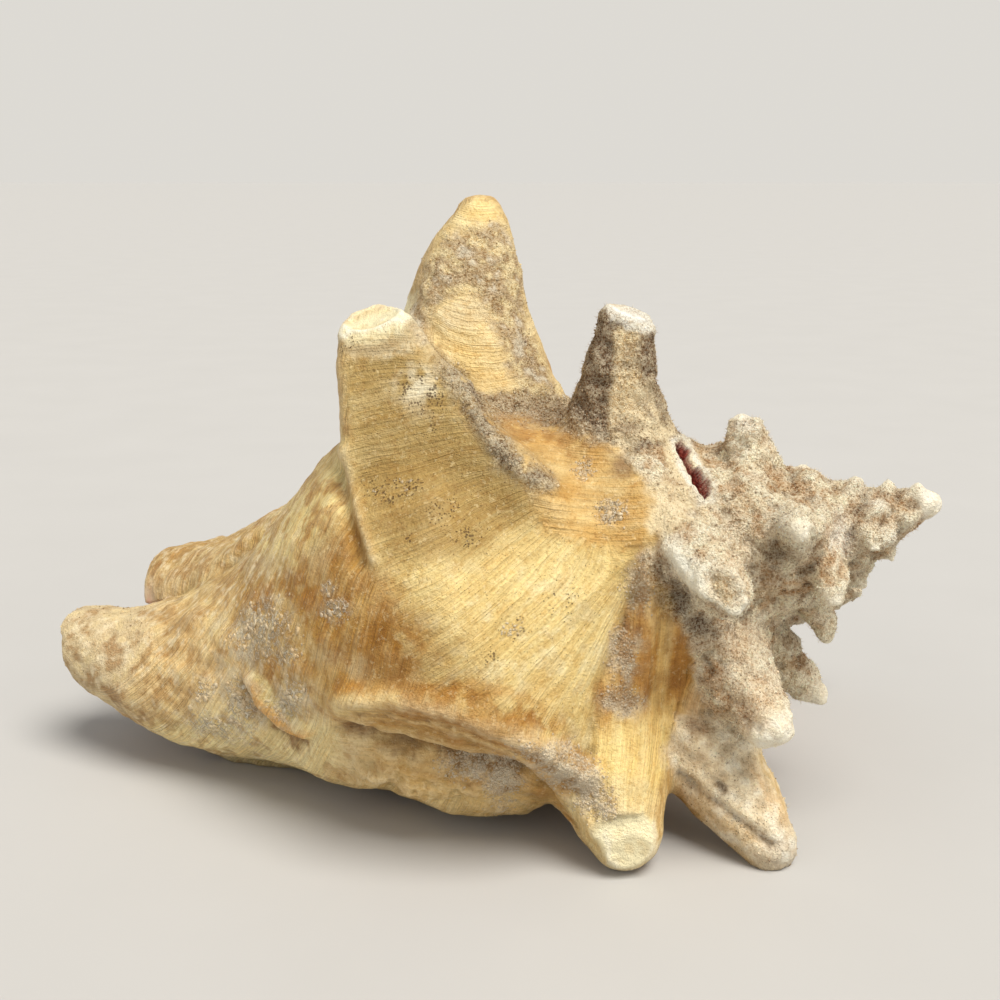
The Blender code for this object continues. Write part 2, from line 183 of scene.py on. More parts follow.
def body_rings(steps, around):
    s = np.concatenate((np.linspace(10.6, LENGTH - 34.0, int(steps * .78)),
                        np.linspace(LENGTH - 34.0, LENGTH - 0.4, int(steps * .40))[1:]))
    phi = np.linspace(0.0, 360.0, around, endpoint=False)
    ss, pp = np.meshgrid(s, phi, indexing="ij")
    return world(ss, body(ss, pp), pp)


def section(ang, sides, soft=9.0):
    """Rounded polygon: distance from the middle to the horn's surface, for each direction."""
    total = np.zeros(len(ang))
    for turn, dist in sides:
        total += np.clip(np.cos(ang - math.radians(turn)) / dist, 0, None) ** soft
    return total ** (-1.0 / soft)


def tube_rings(path, around=28, steps=26, squash=1.0, sides=None):
    """Rounded horn along a path of (x, y, z, half width)."""
    p = np.array(path, float)
    u = np.linspace(0, len(p) - 1, steps)
    c = np.stack([np.interp(u, range(len(p)), p[:, i]) for i in range(4)], 1)
    for _ in range(3):                         # ease the corners of the path
        c[1:-1] = (c[:-2] + 2 * c[1:-1] + c[2:]) / 4
    tan = np.gradient(c[:, :3], axis=0)
    tan /= np.linalg.norm(tan, axis=1)[:, None]
    ref = np.array((1.0, 0.0, 0.0))
    rings = []
    ang = np.linspace(0, 2 * math.pi, around, endpoint=False)
    form = section(ang, sides)[:, None] if sides else np.ones((around, 1))
    for q, t in zip(c, tan):
        x = ref - t * float(ref @ t)
        x /= np.linalg.norm(x)
        y = np.cross(t, x)
        rings.append(q[:3] + q[3] * form * (np.cos(ang)[:, None] * x + squash * np.sin(ang)[:, None] * y))
    last = rings[-1]                           # worn, gently domed end
    mid = last.mean(0)
    rings.append(mid + (last - mid) * 0.7 + tan[-1] * c[-1, 3] * 0.22)
    rings.append(mid + (last - mid) * 0.3 + tan[-1] * c[-1, 3] * 0.34)
    return rings


# slot broken through the crust: its two ends, the way in and its depth
SLOT_A = np.array((42.0, -15.5, 99.4))
SLOT_B = np.array((44.9, -23.9, 93.5))
SLOT_IN = np.array((-0.45, 0.42, -0.77))
SLOT_HALF = 1.9
SLOT_DEPTH = 9.0

# lip wing: s, back reach and height of its edge, back reach and height of its crest,
# back reach and height where it leaves the body (all from the axis)
WING = np.array((
    (21, 44, 2, 36, 18, 16, 13),
    (28, 58, -9, 41, 25, 12, 14),
    (38, 70, -25.0, 46, 25, 8, 16),
    (60, 79, -36.0, 54, 24, 6, 22),
    (90, 83, -38.9, 60, 28, 8, 36),
    (120, 86, -53.8, 64, 26, 12, 42),
    (150, 88, -55.1, 66, 20, 22, 34),
    (175, 87, -56, 66, 8, 28, 20),
    (195, 84, -51, 68, -8, 38, 4),
    (207, 80, -46, 68, -20, 50, -8),
    (216, 74, -42, 70, -28, 60, -16)), float)


def wing_curve(s, t):
    """Point (back, up) of the middle of the lip at height s; t from 0 (body) to 1 (edge)."""
    e = [float(lerp(WING, s, k, 14.0)) for k in range(1, 7)]
    p0 = np.array((e[4], e[5]))
    p2 = np.array((e[2], e[3]))
    p3 = np.array((e[0], e[1]))
    p1 = p0 + (p2 - p0) * 0.5 + np.array((0, 6.0))
    return ((1 - t) ** 3 * p0 + 3 * t * (1 - t) ** 2 * p1 + 3 * t * t * (1 - t) * p2 + t ** 3 * p3)


def back_point(s, b, u):
    s = float(s)
    bend = max(0.0, 1.0 - s / 52.0) ** 2
    return CANAL_END + s * AX - b * FRONT + (u + bend * BEND) * UP


def wing_rings(steps=46, along=26):
    rings = []
    for s in np.linspace(WING[0, 0], WING[-1, 0], steps):
        ts = np.linspace(0, 1, along)
        pts = np.array([wing_curve(s, t) for t in ts])
        tan = np.gradient(pts, axis=0)
        tan /= np.linalg.norm(tan, axis=1)[:, None]
        nor = np.stack((-tan[:, 1], tan[:, 0]), 1)
        end = min(1.0, (s - WING[0, 0]) / 10 + .25, (WING[-1, 0] - s) / 10 + .25)
        half = WALL * .5 * end * np.ones(along)
        half *= np.clip((1.05 - ts) / .09, .66, 1.0)
        outer = pts + nor * half[:, None]
        inner = pts - nor * half[:, None]
        loop = np.concatenate((outer, inner[::-1]))
        rings.append(np.array([back_point(s, b, u) for b, u in loop]))
    return rings


def hollow_rings(steps=40, n=22):
    """Inside of the last turn: between the lip and the turn it wraps, open underneath."""
    rings = []
    for s in np.linspace(24.0, 186.0, steps):
        mid = np.array([wing_curve(s, t) for t in np.linspace(0.16, 1.0, n)])
        tan = np.gradient(mid, axis=0)
        tan /= np.linalg.norm(tan, axis=1)[:, None]
        nor = np.stack((-tan[:, 1], tan[:, 0]), 1)
        k = min(1.0, (s - 24.0) / 16.0, (186.0 - s) / 20.0)
        shrink = 1.0 - math.sqrt(max(0.0, 1 - (1 - k) ** 2))
        roof = mid - nor * (WALL * .5 + .3 + 14.0 * shrink)
        roof[-1] += tan[-1] * 9.0
        drop = roof[-1] + np.array((4.0, -30.0))
        phis = np.linspace(262.0, 118.0, n)
        rb = body(np.full(n, s), phis - 360.0 * (phis > 285))
        core = []
        for ph, r0 in zip(phis, rb):
            th = ph - 360.0
            rp = float(whorl(np.array(s), np.array(th)))
            f = np.clip((262.0 - ph) / 60.0, 0, 1)
            r = max(4.0, rp * (1.02 - .10 * f)) + 10.0 * shrink
            core.append((-r * math.cos(math.radians(ph)), r * math.sin(math.radians(ph))))
        core = np.array(core)
        low = core[0] + np.array((-2.0, -30.0))
        loop = np.concatenate((roof, drop[None], low[None], core))
        rings.append(np.array([back_point(s, b, u) for b, u in loop]))
    return rings


def object_from(name, ring_sets):
    bm = bmesh.new()
    for rings in ring_sets:
        grid_solid(bm, [[Vector(p) for p in ring] for ring in rings])
    bmesh.ops.recalc_face_normals(bm, faces=bm.faces)
    me = bpy.data.meshes.new(name)
    bm.to_mesh(me)
    bm.free()
    ob = bpy.data.objects.new(name, me)
    bpy.context.scene.collection.objects.link(ob)
    return ob


def settle(ob):
    """Freeze the object's modifiers into its mesh."""
    dg = bpy.context.evaluated_depsgraph_get()
    dg.update()
    me = bpy.data.meshes.new_from_object(ob.evaluated_get(dg))
    old = ob.data
    ob.modifiers.clear()
    ob.data = me
    bpy.data.meshes.remove(old)


def remesh(ob, voxel, smooth):
    m = ob.modifiers.new("Grow", "REMESH")
    m.mode = "VOXEL"
    m.voxel_size = voxel
    if smooth:
        q = ob.modifiers.new("Ease", "SMOOTH")
        q.factor = 0.5
        q.iterations = smooth
    settle(ob)


def knob_paths():
    """Blunt knobs of the spire, each rising from the axis side of its turn."""
    out = []
    for x, y, z, w in SMALL:
        tip = np.array((x, y, z), float)
        s = float((tip - CANAL_END) @ AX)
        root = CANAL_END + (s - 3.0 * w / 4.0) * AX
        root = root + (tip - root) * 0.45
        mid = (root + tip) / 2
        out.append([(*root, w * 1.9), (*mid, w * 1.35), (*(mid * .3 + tip * .7), w * .95), (*tip, w * .6)])
    return out


def difference(ob, cutter):
    m = ob.modifiers.new("Cut", "BOOLEAN")
    m.operation = "DIFFERENCE"
    m.solver = "EXACT"
    m.object = cutter
    settle(ob)
    bpy.data.objects.remove(cutter, do_unlink=True)


def slot_rings():
    """Chipped slot under the crown spine: runs a short way into the wall."""
    rings = []
    inward = SLOT_IN / np.linalg.norm(SLOT_IN)
    along = SLOT_B - SLOT_A
    length = float(np.linalg.norm(along))
    along /= length
    across = np.cross(inward, along)
    ang = np.linspace(0, 2 * math.pi, 18, endpoint=False)
    for depth, grow in ((-7.0, 1.2), (0.0, 1.0), (4.0, 0.95), (SLOT_DEPTH, 0.8)):
        c = (SLOT_A + SLOT_B) / 2 + inward * depth
        wide = SLOT_HALF * grow * (1 + 0.25 * np.cos(2 * ang))
        rings.append(c + (np.cos(ang) * (length / 2 + 2.0) * grow)[:, None] * along
                     + (np.sin(ang) * wide)[:, None] * across)
    return rings



# ============================================================ fine form
# The camera that the strokes below are drawn for, in growth-form millimetres.
EYE = np.array((0.0, -309.5, 161.0))
PITCH = math.radians(14.0)
FOCAL = 1300.0                                  # in picture pixels, picture 1000 wide
RIGHT = np.array((1.0, 0.0, 0.0))
ABOVE = np.array((0.0, math.sin(PITCH), math.cos(PITCH)))
AHEAD = np.array((0.0, math.cos(PITCH), -math.sin(PITCH)))


def picture(co):
    q = co - EYE
    z = q @ AHEAD
    return np.stack((500 + FOCAL * (q @ RIGHT) / z, 500 - FOCAL * (q @ ABOVE) / z), 1)


def smooth(x, a, b):
    t = np.clip((x - a) / (b - a), 0, 1)
    return t * t * (3 - 2 * t)


def lattice(p, seed=0):
    """Value noise in 0..1 on rows of 3-D points."""
    i = np.floor(p).astype(np.int64)
    f = p - i
    f = f * f * (3 - 2 * f)
    out = np.zeros(len(p))
    for dx in (0, 1):
        for dy in (0, 1):
            for dz in (0, 1):
                h = ((i[:, 0] + dx) * 73856093) ^ ((i[:, 1] + dy) * 19349663) ^ ((i[:, 2] + dz) * 83492791) ^ (seed * 2654435)
                h = (h ^ (h >> 13)) * 1274126177
                h = (h ^ (h >> 16)) & 0xFFFF
                w = (f[:, 0] if dx else 1 - f[:, 0]) * (f[:, 1] if dy else 1 - f[:, 1]) * (f[:, 2] if dz else 1 - f[:, 2])
                out += w * (h / 65535.0)
    return out


def cloud(p, size, octaves=3, seed=0):
    total, amp, out = 0.0, 1.0, np.zeros(len(p))
    q = p / size
    for k in range(octaves):
        out += amp * lattice(q * (2.03 ** k) + 17.3 * k, seed + k)
        total += amp
        amp *= 0.5
    return out / total


def line_field(uv, pts):
    """Distance to a drawn line, and the signed side (positive to the right of its direction)."""
    best = np.full(len(uv), 1e9)
    side = np.zeros(len(uv))
    pts = np.array(pts, float)
    for a, b in zip(pts[:-1], pts[1:]):
        d = b - a
        L = float(d @ d)
        t = np.clip(((uv - a) @ d) / L, 0, 1)
        off = uv - (a + t[:, None] * d)
        dist = np.hypot(off[:, 0], off[:, 1])
        near = dist < best
        best = np.where(near, dist, best)
        cross = d[0] * off[:, 1] - d[1] * off[:, 0]
        side = np.where(near, np.sign(cross), side)
    return best, side


def ridge(uv, pts, width):
    d, _ = line_field(uv, pts)
    return np.exp(-(d / width) ** 2)


def area(uv, pts, soft):
    """Soft mask of a drawn outline: 1 inside, 0 outside."""
    pts = np.array(pts, float)
    inside = np.zeros(len(uv), bool)
    n = len(pts)
    for k in range(n):
        x0, y0 = pts[k]
        x1, y1 = pts[(k + 1) % n]
        hit = ((y0 > uv[:, 1]) != (y1 > uv[:, 1]))
        xs = x0 + (uv[:, 1] - y0) * (x1 - x0) / ((y1 - y0) if abs(y1 - y0) > 1e-9 else 1e-9)
        inside ^= hit & (uv[:, 0] < xs)
    d, _ = line_field(uv, list(pts) + [pts[0]])
    signed = np.where(inside, d, -d)
    return smooth(signed, -soft, soft)


def dots(uv, items):
    """Soft oval patches: x, y, half width, half height, turn in degrees."""
    out = np.zeros(len(uv))
    for it in items:
        x, y, a, b = it[:4]
        w = math.radians(it[4] if len(it) > 4 else 0.0)
        k = it[5] if len(it) > 5 else 1.0
        dx, dy = uv[:, 0] - x, uv[:, 1] - y
        p = (dx * math.cos(w) + dy * math.sin(w)) / a
        q = (-dx * math.sin(w) + dy * math.cos(w)) / b
        out = np.maximum(out, k * np.exp(-(p * p + q * q) ** 1.3))
    return out


def neighbours_mean(values, edges, count, rounds):
    v = values.copy()
    for _ in range(rounds):
        acc = v.copy()
        np.add.at(acc, edges[:, 0], v[edges[:, 1]])
        np.add.at(acc, edges[:, 1], v[edges[:, 0]])
        v = acc / (count + 1 if v.ndim == 1 else (count + 1)[:, None])
    return v


def read_mesh(me):
    n = len(me.vertices)
    co = np.empty(n * 3)
    me.vertices.foreach_get("co", co)
    no = np.empty(n * 3)
    me.vertices.foreach_get("normal", no)
    ed = np.empty(len(me.edges) * 2, int)
    me.edges.foreach_get("vertices", ed)
    return co.reshape(-1, 3), no.reshape(-1, 3), ed.reshape(-1, 2)


def worn_end(co, centre, direction, radius, dish, rim, height=0.0):
    """Cut the end of a spine to a worn disc with a dished face and a raised rim."""
    d = np.array(direction, float)
    d /= np.linalg.norm(d)
    q = co - np.array(centre, float)
    h = q @ d
    rad = np.linalg.norm(q - h[:, None] * d, axis=1)
    near = (rad < radius * 1.5) & (h > height - 2.0) & (h < 14)
    face = -dish * (1 - smooth(rad, radius * .2, radius * .8)) + rim * np.exp(-((rad - radius * .86) / (radius * .13)) ** 2)
    target = np.minimum(h, face + height)
    out = co.copy()
    out[near] += ((target - h)[:, None] * d)[near]
    return out, near & (h > face + height - .6)


# ============================================================ the grown shell
VOXEL = 1.69
SHIFT = np.array((-5.4557, 19.8364, 8.0))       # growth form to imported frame, mm


def to_frame(points):
    return (points - SHIFT) * 0.001


def grow(voxel, first, last):
    """The shell in growth-form millimetres, with a search tree of the mouth's cut faces."""
    ob = object_from("conch_skin", [body_rings(110, 140), wing_rings()]
                     + [tube_rings(p, 40, 40, sides=FACETS.get(k)) for k, p in SPINES.items()]
                     + [tube_rings(p, 18, 14) for p in knob_paths()])
    remesh(ob, voxel, first)
    mouth = object_from("mouth", [hollow_rings()])
    remesh(mouth, 1.7, 3)
    tree = BVHTree.FromPolygons([v.co.copy() for v in mouth.data.vertices],
                                [tuple(p.vertices) for p in mouth.data.polygons])
    difference(ob, mouth)
    remesh(ob, voxel, last)
    ob.modifiers.new("Facets", "TRIANGULATE")
    settle(ob)
    return ob, tree


def seen_from_eye(co, no, me):
    tree = BVHTree.FromPolygons([Vector(p) for p in co], [tuple(p.vertices) for p in me.polygons])
    out = np.zeros(len(co))
    eye = Vector(EYE)
    toward = EYE - co
    dist = np.linalg.norm(toward, axis=1)
    facing = (no * toward).sum(1) / dist
    for i in np.nonzero(facing > -0.05)[0]:
        hit = tree.ray_cast(eye, Vector(-toward[i] / dist[i]), float(dist[i]) - 1.0)
        if hit[0] is None:
            out[i] = 1.0
    return out, facing


def refine(me, keep):
    """Split each face whose three points are all in keep into four."""
    bm = bmesh.new()
    bm.from_mesh(me)
    bm.verts.ensure_lookup_table()
    edges = {e for f in bm.faces if all(keep[v.index] for v in f.verts) for e in f.edges}
    bmesh.ops.subdivide_edges(bm, edges=list(edges), cuts=1, use_grid_fill=True)
    bmesh.ops.triangulate(bm, faces=[f for f in bm.faces if len(f.verts) > 3])
    bm.to_mesh(me)
    bm.free()


skin, mouth_tree = grow(VOXEL, 2, 3)
co, no, edges = read_mesh(skin.data)
seen, facing = seen_from_eye(co, no, skin.data)
cnt = np.bincount(edges.ravel(), minlength=len(co)).astype(float)
near = neighbours_mean(seen, edges, cnt, 2)
refine(skin.data, near > 0.35)
m = skin.modifiers.new("Ease", "SMOOTH")
m.factor = 0.5
m.iterations = 2
settle(skin)

co, no, edges = read_mesh(skin.data)
refine(skin.data, (np.linalg.norm(co - (SLOT_A + SLOT_B) / 2, axis=1) < 10) & (no[:, 1] < .2))
co, no, edges = read_mesh(skin.data)
cnt = np.bincount(edges.ravel(), minlength=len(co)).astype(float)
seen, facing = seen_from_eye(co, no, skin.data)
w = neighbours_mean(seen, edges, cnt, 5)        # strength of everything drawn from the front
w = smooth(w, .15, .85)
uv = picture(co)
U, V = uv[:, 0], uv[:, 1]


def growth_coordinates(co):
    q = co - CANAL_END
    s = q @ AX
    bend = np.clip(1.0 - s / 52.0, 0.0, 1.0) ** 2 * BEND
    a, b = q @ FRONT, q @ UP - bend
    return s, np.degrees(np.arctan2(b, a)), np.hypot(a, b)


s_co, phi, rad = growth_coordinates(co)
phi = np.mod(phi + 78.0, 360.0) - 78.0          # the jump lies in the mouth, out of sight
arc = rad * np.radians(phi)
depth = np.array([mouth_tree.find_nearest(Vector(p))[3] or 0.0 for p in co])
inside = neighbours_mean((depth < VOXEL * .8).astype(float), edges, cnt, 3)
outer = 1 - inside


def mean(values, rounds):
    return neighbours_mean(values, edges, cnt, rounds)


# a second picture position with a broken-up edge, for colours and crust
ragged = uv + 13.0 * (np.stack((cloud(co, 3.4, 3, 101), cloud(co, 3.4, 3, 102)), 1) - .5) + 7.0 * (np.stack((cloud(co, 1.1, 2, 103), cloud(co, 1.1, 2, 104)), 1) - .5)


# ------------------------------------------------------------ masks drawn on the front
def tip_mask(points, r0, r1):
    out = np.zeros(len(co))
    for p in points:
        d = np.linalg.norm(co - np.array(p[:3], float), axis=1)
        out = np.maximum(out, 1 - smooth(d, r0, r1))
    return out


back = 1 - w
spire_front = w * area(ragged, [(588, 425), (640, 404), (668, 395), (742, 400), (950, 465), (955, 530), (875, 600), (846, 640), (850, 705),
                            (800, 760), (730, 740), (700, 690), (690, 640), (655, 600), (640, 555), (664, 540), (660, 500), (625, 450)], 7)
crown = w * area(ragged, [(570, 412), (596, 300), (660, 310), (672, 410), (700, 440), (640, 450), (590, 430)], 5)
spire_back = smooth(s_co + 5 * (cloud(co, 12, 2, 5) - .5), 172, 181) * back
edge_b = w * ridge(ragged, [(440, 350), (459, 383), (482, 422), (506, 458), (540, 480)], 12) * smooth(V, 340, 385) * smooth(cloud(co, 3.0, 3, 91), .22, .40)
a_crust = w * np.clip(area(ragged, [(408, 318), (420, 270), (450, 236), (500, 222), (522, 262), (530, 330), (560, 390), (520, 396),
                                (496, 330), (470, 286), (440, 296), (424, 340)], 9), 0, 1)
a_base = w * area(ragged, [(478, 398), (520, 392), (580, 396), (612, 425), (600, 440), (540, 424), (500, 418)], 8)
c_patch = w * dots(ragged, [(622, 655, 13, 26, 6), (622, 700, 20, 14, 0), (640, 585, 16, 26, 20)])
flaky = w * dots(ragged, [(505, 775, 17, 20, 20), (562, 762, 26, 18, 30), (588, 785, 16, 26, -10), (470, 772, 26, 7, 6),
                      (604, 805, 12, 16, 0), (540, 748, 26, 7, 20)])
crust = np.clip(spire_front + crown + spire_back + edge_b * 1.1 + a_crust * .75 + a_base + c_patch * .6 + flaky * .2, 0, 1)
crust *= outer
chalk = w * np.clip(area(ragged, [(606, 405), (648, 380), (668, 420), (700, 452), (712, 500), (700, 545), (664, 552), (640, 540),
                              (655, 500), (622, 452)], 9), 0, 1)
chalk *= smooth(cloud(co, 7, 3, 31), .34, .52)
tips = [p[-1] for p in SPINES.values()] + [q[:3] for q in SMALL]
knob_tip = tip_mask([q[:3] for q in SMALL], 1.2, 3.4)
knob_tip = np.maximum(knob_tip, tip_mask([SPINES[k][-1][:3] for k in ("knob_g", "knob_h", "knob_b1", "knob_b2", "knob_b3", "tip")], 4, 9))
f_ridge = w * ridge(uv, [(677, 550), (684, 566), (694, 579), (703, 590)], 10)
f_u = ((U - 723) * math.cos(math.radians(48)) + (V - 588) * math.sin(math.radians(48))) / 26.0
f_v = (-(U - 723) * math.sin(math.radians(48)) + (V - 588) * math.cos(math.radians(48))) / 15.5
f_r = np.hypot(f_u, f_v)
f_bowl = w * (1 - smooth(f_r, .40, .80))
f_ring = w * np.exp(-((f_r - 1.0) / .17) ** 2) * (.35 + .65 * smooth(cloud(co, 2.4, 2, 141), .30, .55)) * (.55 + .45 * smooth(U + V, 1290, 1325))
f_ridge = np.clip(f_ridge + f_ring, 0, 1)

# ------------------------------------------------------------ relief
shift = np.zeros(len(co))
fold = w * smooth(U, 312, 372)
shift += fold * 3.4 * ridge(uv, [(300, 712), (350, 700), (392, 696), (455, 710), (530, 742), (584, 772)], 14)
shift -= fold * 4.4 * ridge(uv, [(300, 730), (350, 734), (372, 744), (415, 753), (468, 767), (520, 774)], 9)
shift += fold * .5 * ridge(ragged, [(350, 719), (410, 718), (470, 735), (530, 760)], 5)
shift -= fold * .45 * ridge(ragged, [(348, 709), (410, 708), (470, 724), (536, 750)], 6)
shift += fold * 1.2 * ridge(ragged, [(360, 765), (430, 782), (500, 790)], 5)
shift += w * 1.3 * (cloud(co, 3.2, 3, 35) - .5) * area(uv, [(330, 690), (470, 700), (600, 760), (600, 830), (430, 800), (330, 780)], 16)
shift += w * smooth(U, 250, 360) * 2.2 * ridge(uv, [(240, 752), (322, 764), (359, 776), (392, 770), (426, 790), (455, 802), (497, 806), (548, 812)], 11)
shift -= fold * 1.2 * ridge(uv, [(392, 782), (400, 760)], 10)
shift += fold * 1.0 * (cloud(np.stack((U / 16, V / 8, np.zeros(len(co))), 1), 1.0, 3, 77) - .5) * area(uv, [(330, 690), (600, 740), (600, 820), (330, 800)], 20)
shift -= w * 1.0 * ridge(uv, [(632, 600), (614, 650), (598, 690), (590, 750)], 7)
shift += w * 1.2 * ridge(uv, [(648, 566), (650, 620), (640, 700), (640, 780)], 12)
shift += w * 1.0 * ridge(uv, [(410, 318), (440, 354), (459, 383), (484, 430), (520, 474), (552, 486)], 6)
shift += w * 1.0 * ridge(uv, [(346, 450), (352, 480), (361, 526), (374, 560)], 6)
shift -= w * 1.4 * ridge(uv, [(338, 470), (346, 510), (358, 560)], 9)
shift += w * 2.2 * ridge(uv, [(252, 680), (264, 702), (282, 720), (304, 733)], 8)
shift -= w * 1.6 * ridge(uv, [(240, 686), (252, 710), (274, 732), (302, 745)], 6)
shift += w * 1.0 * dots(uv, [(300, 700, 14, 10, 30), (345, 700, 16, 12, 0), (232, 640, 20, 12, 30), (190, 620, 22, 10, -20)])
shift -= w * 1.0 * dots(uv, [(215, 668, 14, 10, 0), (317, 735, 16, 10, 20), (180, 655, 16, 10, 0)])
shift += w * .7 * area(uv, [(438, 312), (452, 298), (468, 292), (486, 304), (492, 340), (486, 400), (450, 396)], 8)
shift -= w * .9 * ridge(uv + 5 * (np.stack((cloud(co, 5, 2, 143), cloud(co, 5, 2, 144)), 1) - .5), [(681, 774), (704, 794), (731, 813), (753, 831), (772, 845)], 5)
shift += w * .8 * ridge(uv, [(690, 768), (716, 790), (745, 812), (778, 838)], 6)
shift -= w * 1.3 * dots(uv, [(722, 788, 5, 8, -30)])
shift += w * .9 * dots(uv, [(744, 791, 7, 5, 0), (729, 779, 5, 4, 0), (712, 770, 6, 5, 0)])
shift += w * 2.0 * (cloud(co, 2.6, 3, 36) - .5) * area(uv, [(660, 700), (740, 700), (806, 850), (770, 875), (690, 790)], 10)
shift += w * 1.0 * ridge(uv, [(668, 720), (700, 744), (740, 780)], 8)
shift += 1.3 * f_ridge + .4 * f_ring - .9 * f_bowl + f_bowl * 1.2 * (cloud(co, 1.6, 2, 142) - .5)
shift -= w * 2.0 * dots(uv, [(676, 604, 20, 18, 30), (700, 626, 20, 12, 20)])
shift += f_ridge * .8 * (cloud(co, 1.8, 2, 37) - .5)
shift -= w * 1.5 * ridge(uv, [(516, 768), (548, 790), (566, 828)], 6)
shift += w * 1.4 * ridge(uv, [(528, 758), (566, 790), (590, 830)], 8)
form = outer * (1 - .5 * crust)
shift += form * 1.3 * (cloud(co, 16, 2, 3) - .5)
shift += w * smooth(U, 380, 300) * 2.2 * (cloud(co, 8.5, 3, 33) - .5)
# knobs and sutures of the first turns
shift += w * 2.0 * dots(uv, [(855, 487, 9, 9, 0), (889, 489, 8, 8, 0), (917, 494, 7, 7, 0), (873, 512, 10, 8, 0), (888, 536, 8, 8, 0, .8),
                             (836, 512, 9, 9, 0, .7), (862, 560, 9, 9, 0, .8), (828, 596, 10, 9, 0, .7), (905, 518, 6, 6, 0, .8), (790, 524, 13, 11, 0, .8),
                             (748, 430, 12, 10, 0, .6), (806, 480, 12, 9, 0, .6)])
shift -= w * 1.0 * ridge(uv, [(868, 478), (862, 505), (850, 535), (842, 575)], 5)
shift -= w * 0.9 * ridge(uv, [(902, 484), (896, 505), (884, 520), (874, 548)], 4)
shift -= w * 1.0 * ridge(uv, [(790, 462), (812, 500), (816, 545), (808, 590), (790, 628)], 7)
shift -= w * 0.8 * ridge(uv, [(712, 430), (730, 470), (752, 520), (748, 575), (738, 640)], 8)
shift += outer * 0.9 * (cloud(co, 6.0, 3, 9) - .5)
# the sandy crust: lumps of a few millimetres
shift += crust * (2.0 * (cloud(co, 4.6, 2, 13) - .42) + 1.7 * (cloud(co, 2.1, 2, 17) - .5))
# growth steps and low spiral cords, quiet on the front
steps = cloud(np.stack((arc + .25 * s_co, s_co * .14, rad * .1), 1), 4.2, 3, 161)
shift += back * outer * (1 - crust) * (2.0 * (steps - .5) + .22 * np.sin(s_co * 2 * math.pi / 8.5 + 5 * cloud(co, 22, 2, 8)) + 1.6 * (cloud(co, 7, 3, 162) - .5))
# push every point out along its normal by the relief
co = co + no * shift[:, None]
# the lip's front lobe behind the canal, and the slimmer end of the front foot
lobe = smooth(rad, 16.5, 21) * smooth(s_co, 50, 36) * smooth(phi, 95, 115) * smooth(phi, 240, 200)
co[:, 0] += lobe * 2.6
co[:, 2] += lobe * (1.6 * smooth(V, 574, 556) - 4.5 * smooth(V, 570, 592))
foot_end = np.array((28.4, -48.4, 13.6))
near_foot = 1 - smooth(np.linalg.norm(co - foot_end, axis=1), 7, 22)
co[:, 0] += near_foot * .17 * (29.4 - co[:, 0])

co, cut_b = worn_end(co, (-28.6, -13.0, 130.6), (-.30, -.42, .86), 8.6, .8, .7)
co, cut_c = worn_end(co, (29.0, -48.2, 13.4), (.03, -.985, .10), 7.2, .5, .5)
co, cut_e = worn_end(co, (29.0, -8.0, 130.6), (.34, -.22, .91), 7.4, .4, .3)
cut_b, cut_c, cut_e = (mean(c.astype(float), 1) for c in (cut_b, cut_c, cut_e))
cuts = np.clip(cut_b + cut_c + cut_e, 0, 1)
co = co + no * (cuts * .8 * (cloud(co, 2.2, 2, 61) - .5))[:, None]
skin.data.vertices.foreach_set("co", co.ravel())
skin.data.update()
_, no, _ = read_mesh(skin.data)

# the broken slot: two lobes and a slit between them, pushed in along the way in
hole = w * np.clip(area(uv, [(675, 444), (682, 442), (689, 450), (688, 459), (681, 459)], 1.4)
                   + area(uv, [(690, 471), (698, 468), (707, 481), (709, 494), (703, 499), (695, 487)], 1.4)
                   + area(uv, [(683, 457), (687, 456), (695, 472), (691, 474)], 1.6), 0, 1)
way = SLOT_IN / np.linalg.norm(SLOT_IN)
co = co + (hole * 7.5)[:, None] * way
rim = np.clip(w * ridge(uv, [(673, 440), (684, 438), (692, 454), (700, 468), (711, 482), (712, 500), (700, 503), (689, 482), (680, 462), (673, 440)], 3.2) * (.5 + cloud(co, 1.2, 2, 111)) - hole, 0, 1)
co = co + no * (rim * .35)[:, None]
co[:, 2] = np.maximum(co[:, 2], FLOOR)

# hollows and edges, at two scales: darker hollows (painted shade in the spire's crust), paler edges, and nearness to
# the floor
skin.data.vertices.foreach_set("co", co.ravel())
skin.data.update()
_, no, _ = read_mesh(skin.data)
flat1 = mean(co, 3)
flat2 = mean(co, 12)
edge1 = np.clip(((co - flat1) * no).sum(1) / .35, -1, 1)
edge2 = np.clip(((co - flat2) * no).sum(1) / 1.2, -1, 1)
# low_z: how near the floor a point lies, for painted shade there
low_z = smooth(co[:, 2], FLOOR + 10, FLOOR) * outer


d_top = w * area(ragged, [(664, 760), (676, 716), (732, 712), (765, 770), (806, 850), (770, 876), (716, 832)], 8)
canal_end = w * area(ragged, [(50, 590), (150, 596), (156, 640), (136, 664), (110, 690), (56, 668)], 8)


# ------------------------------------------------------------ colour
def lin(rgb):
    c = np.array(rgb, float) / 255.0
    return np.where(c <= 0.04045, c / 12.92, ((c + 0.055) / 1.055) ** 2.4)


tint = np.tile(lin((206, 168, 100)), (len(co), 1))


def paint(mask, rgb):
    global tint
    k = np.clip(mask, 0, 1)[:, None]
    tint = tint * (1 - k) + lin(rgb) * k


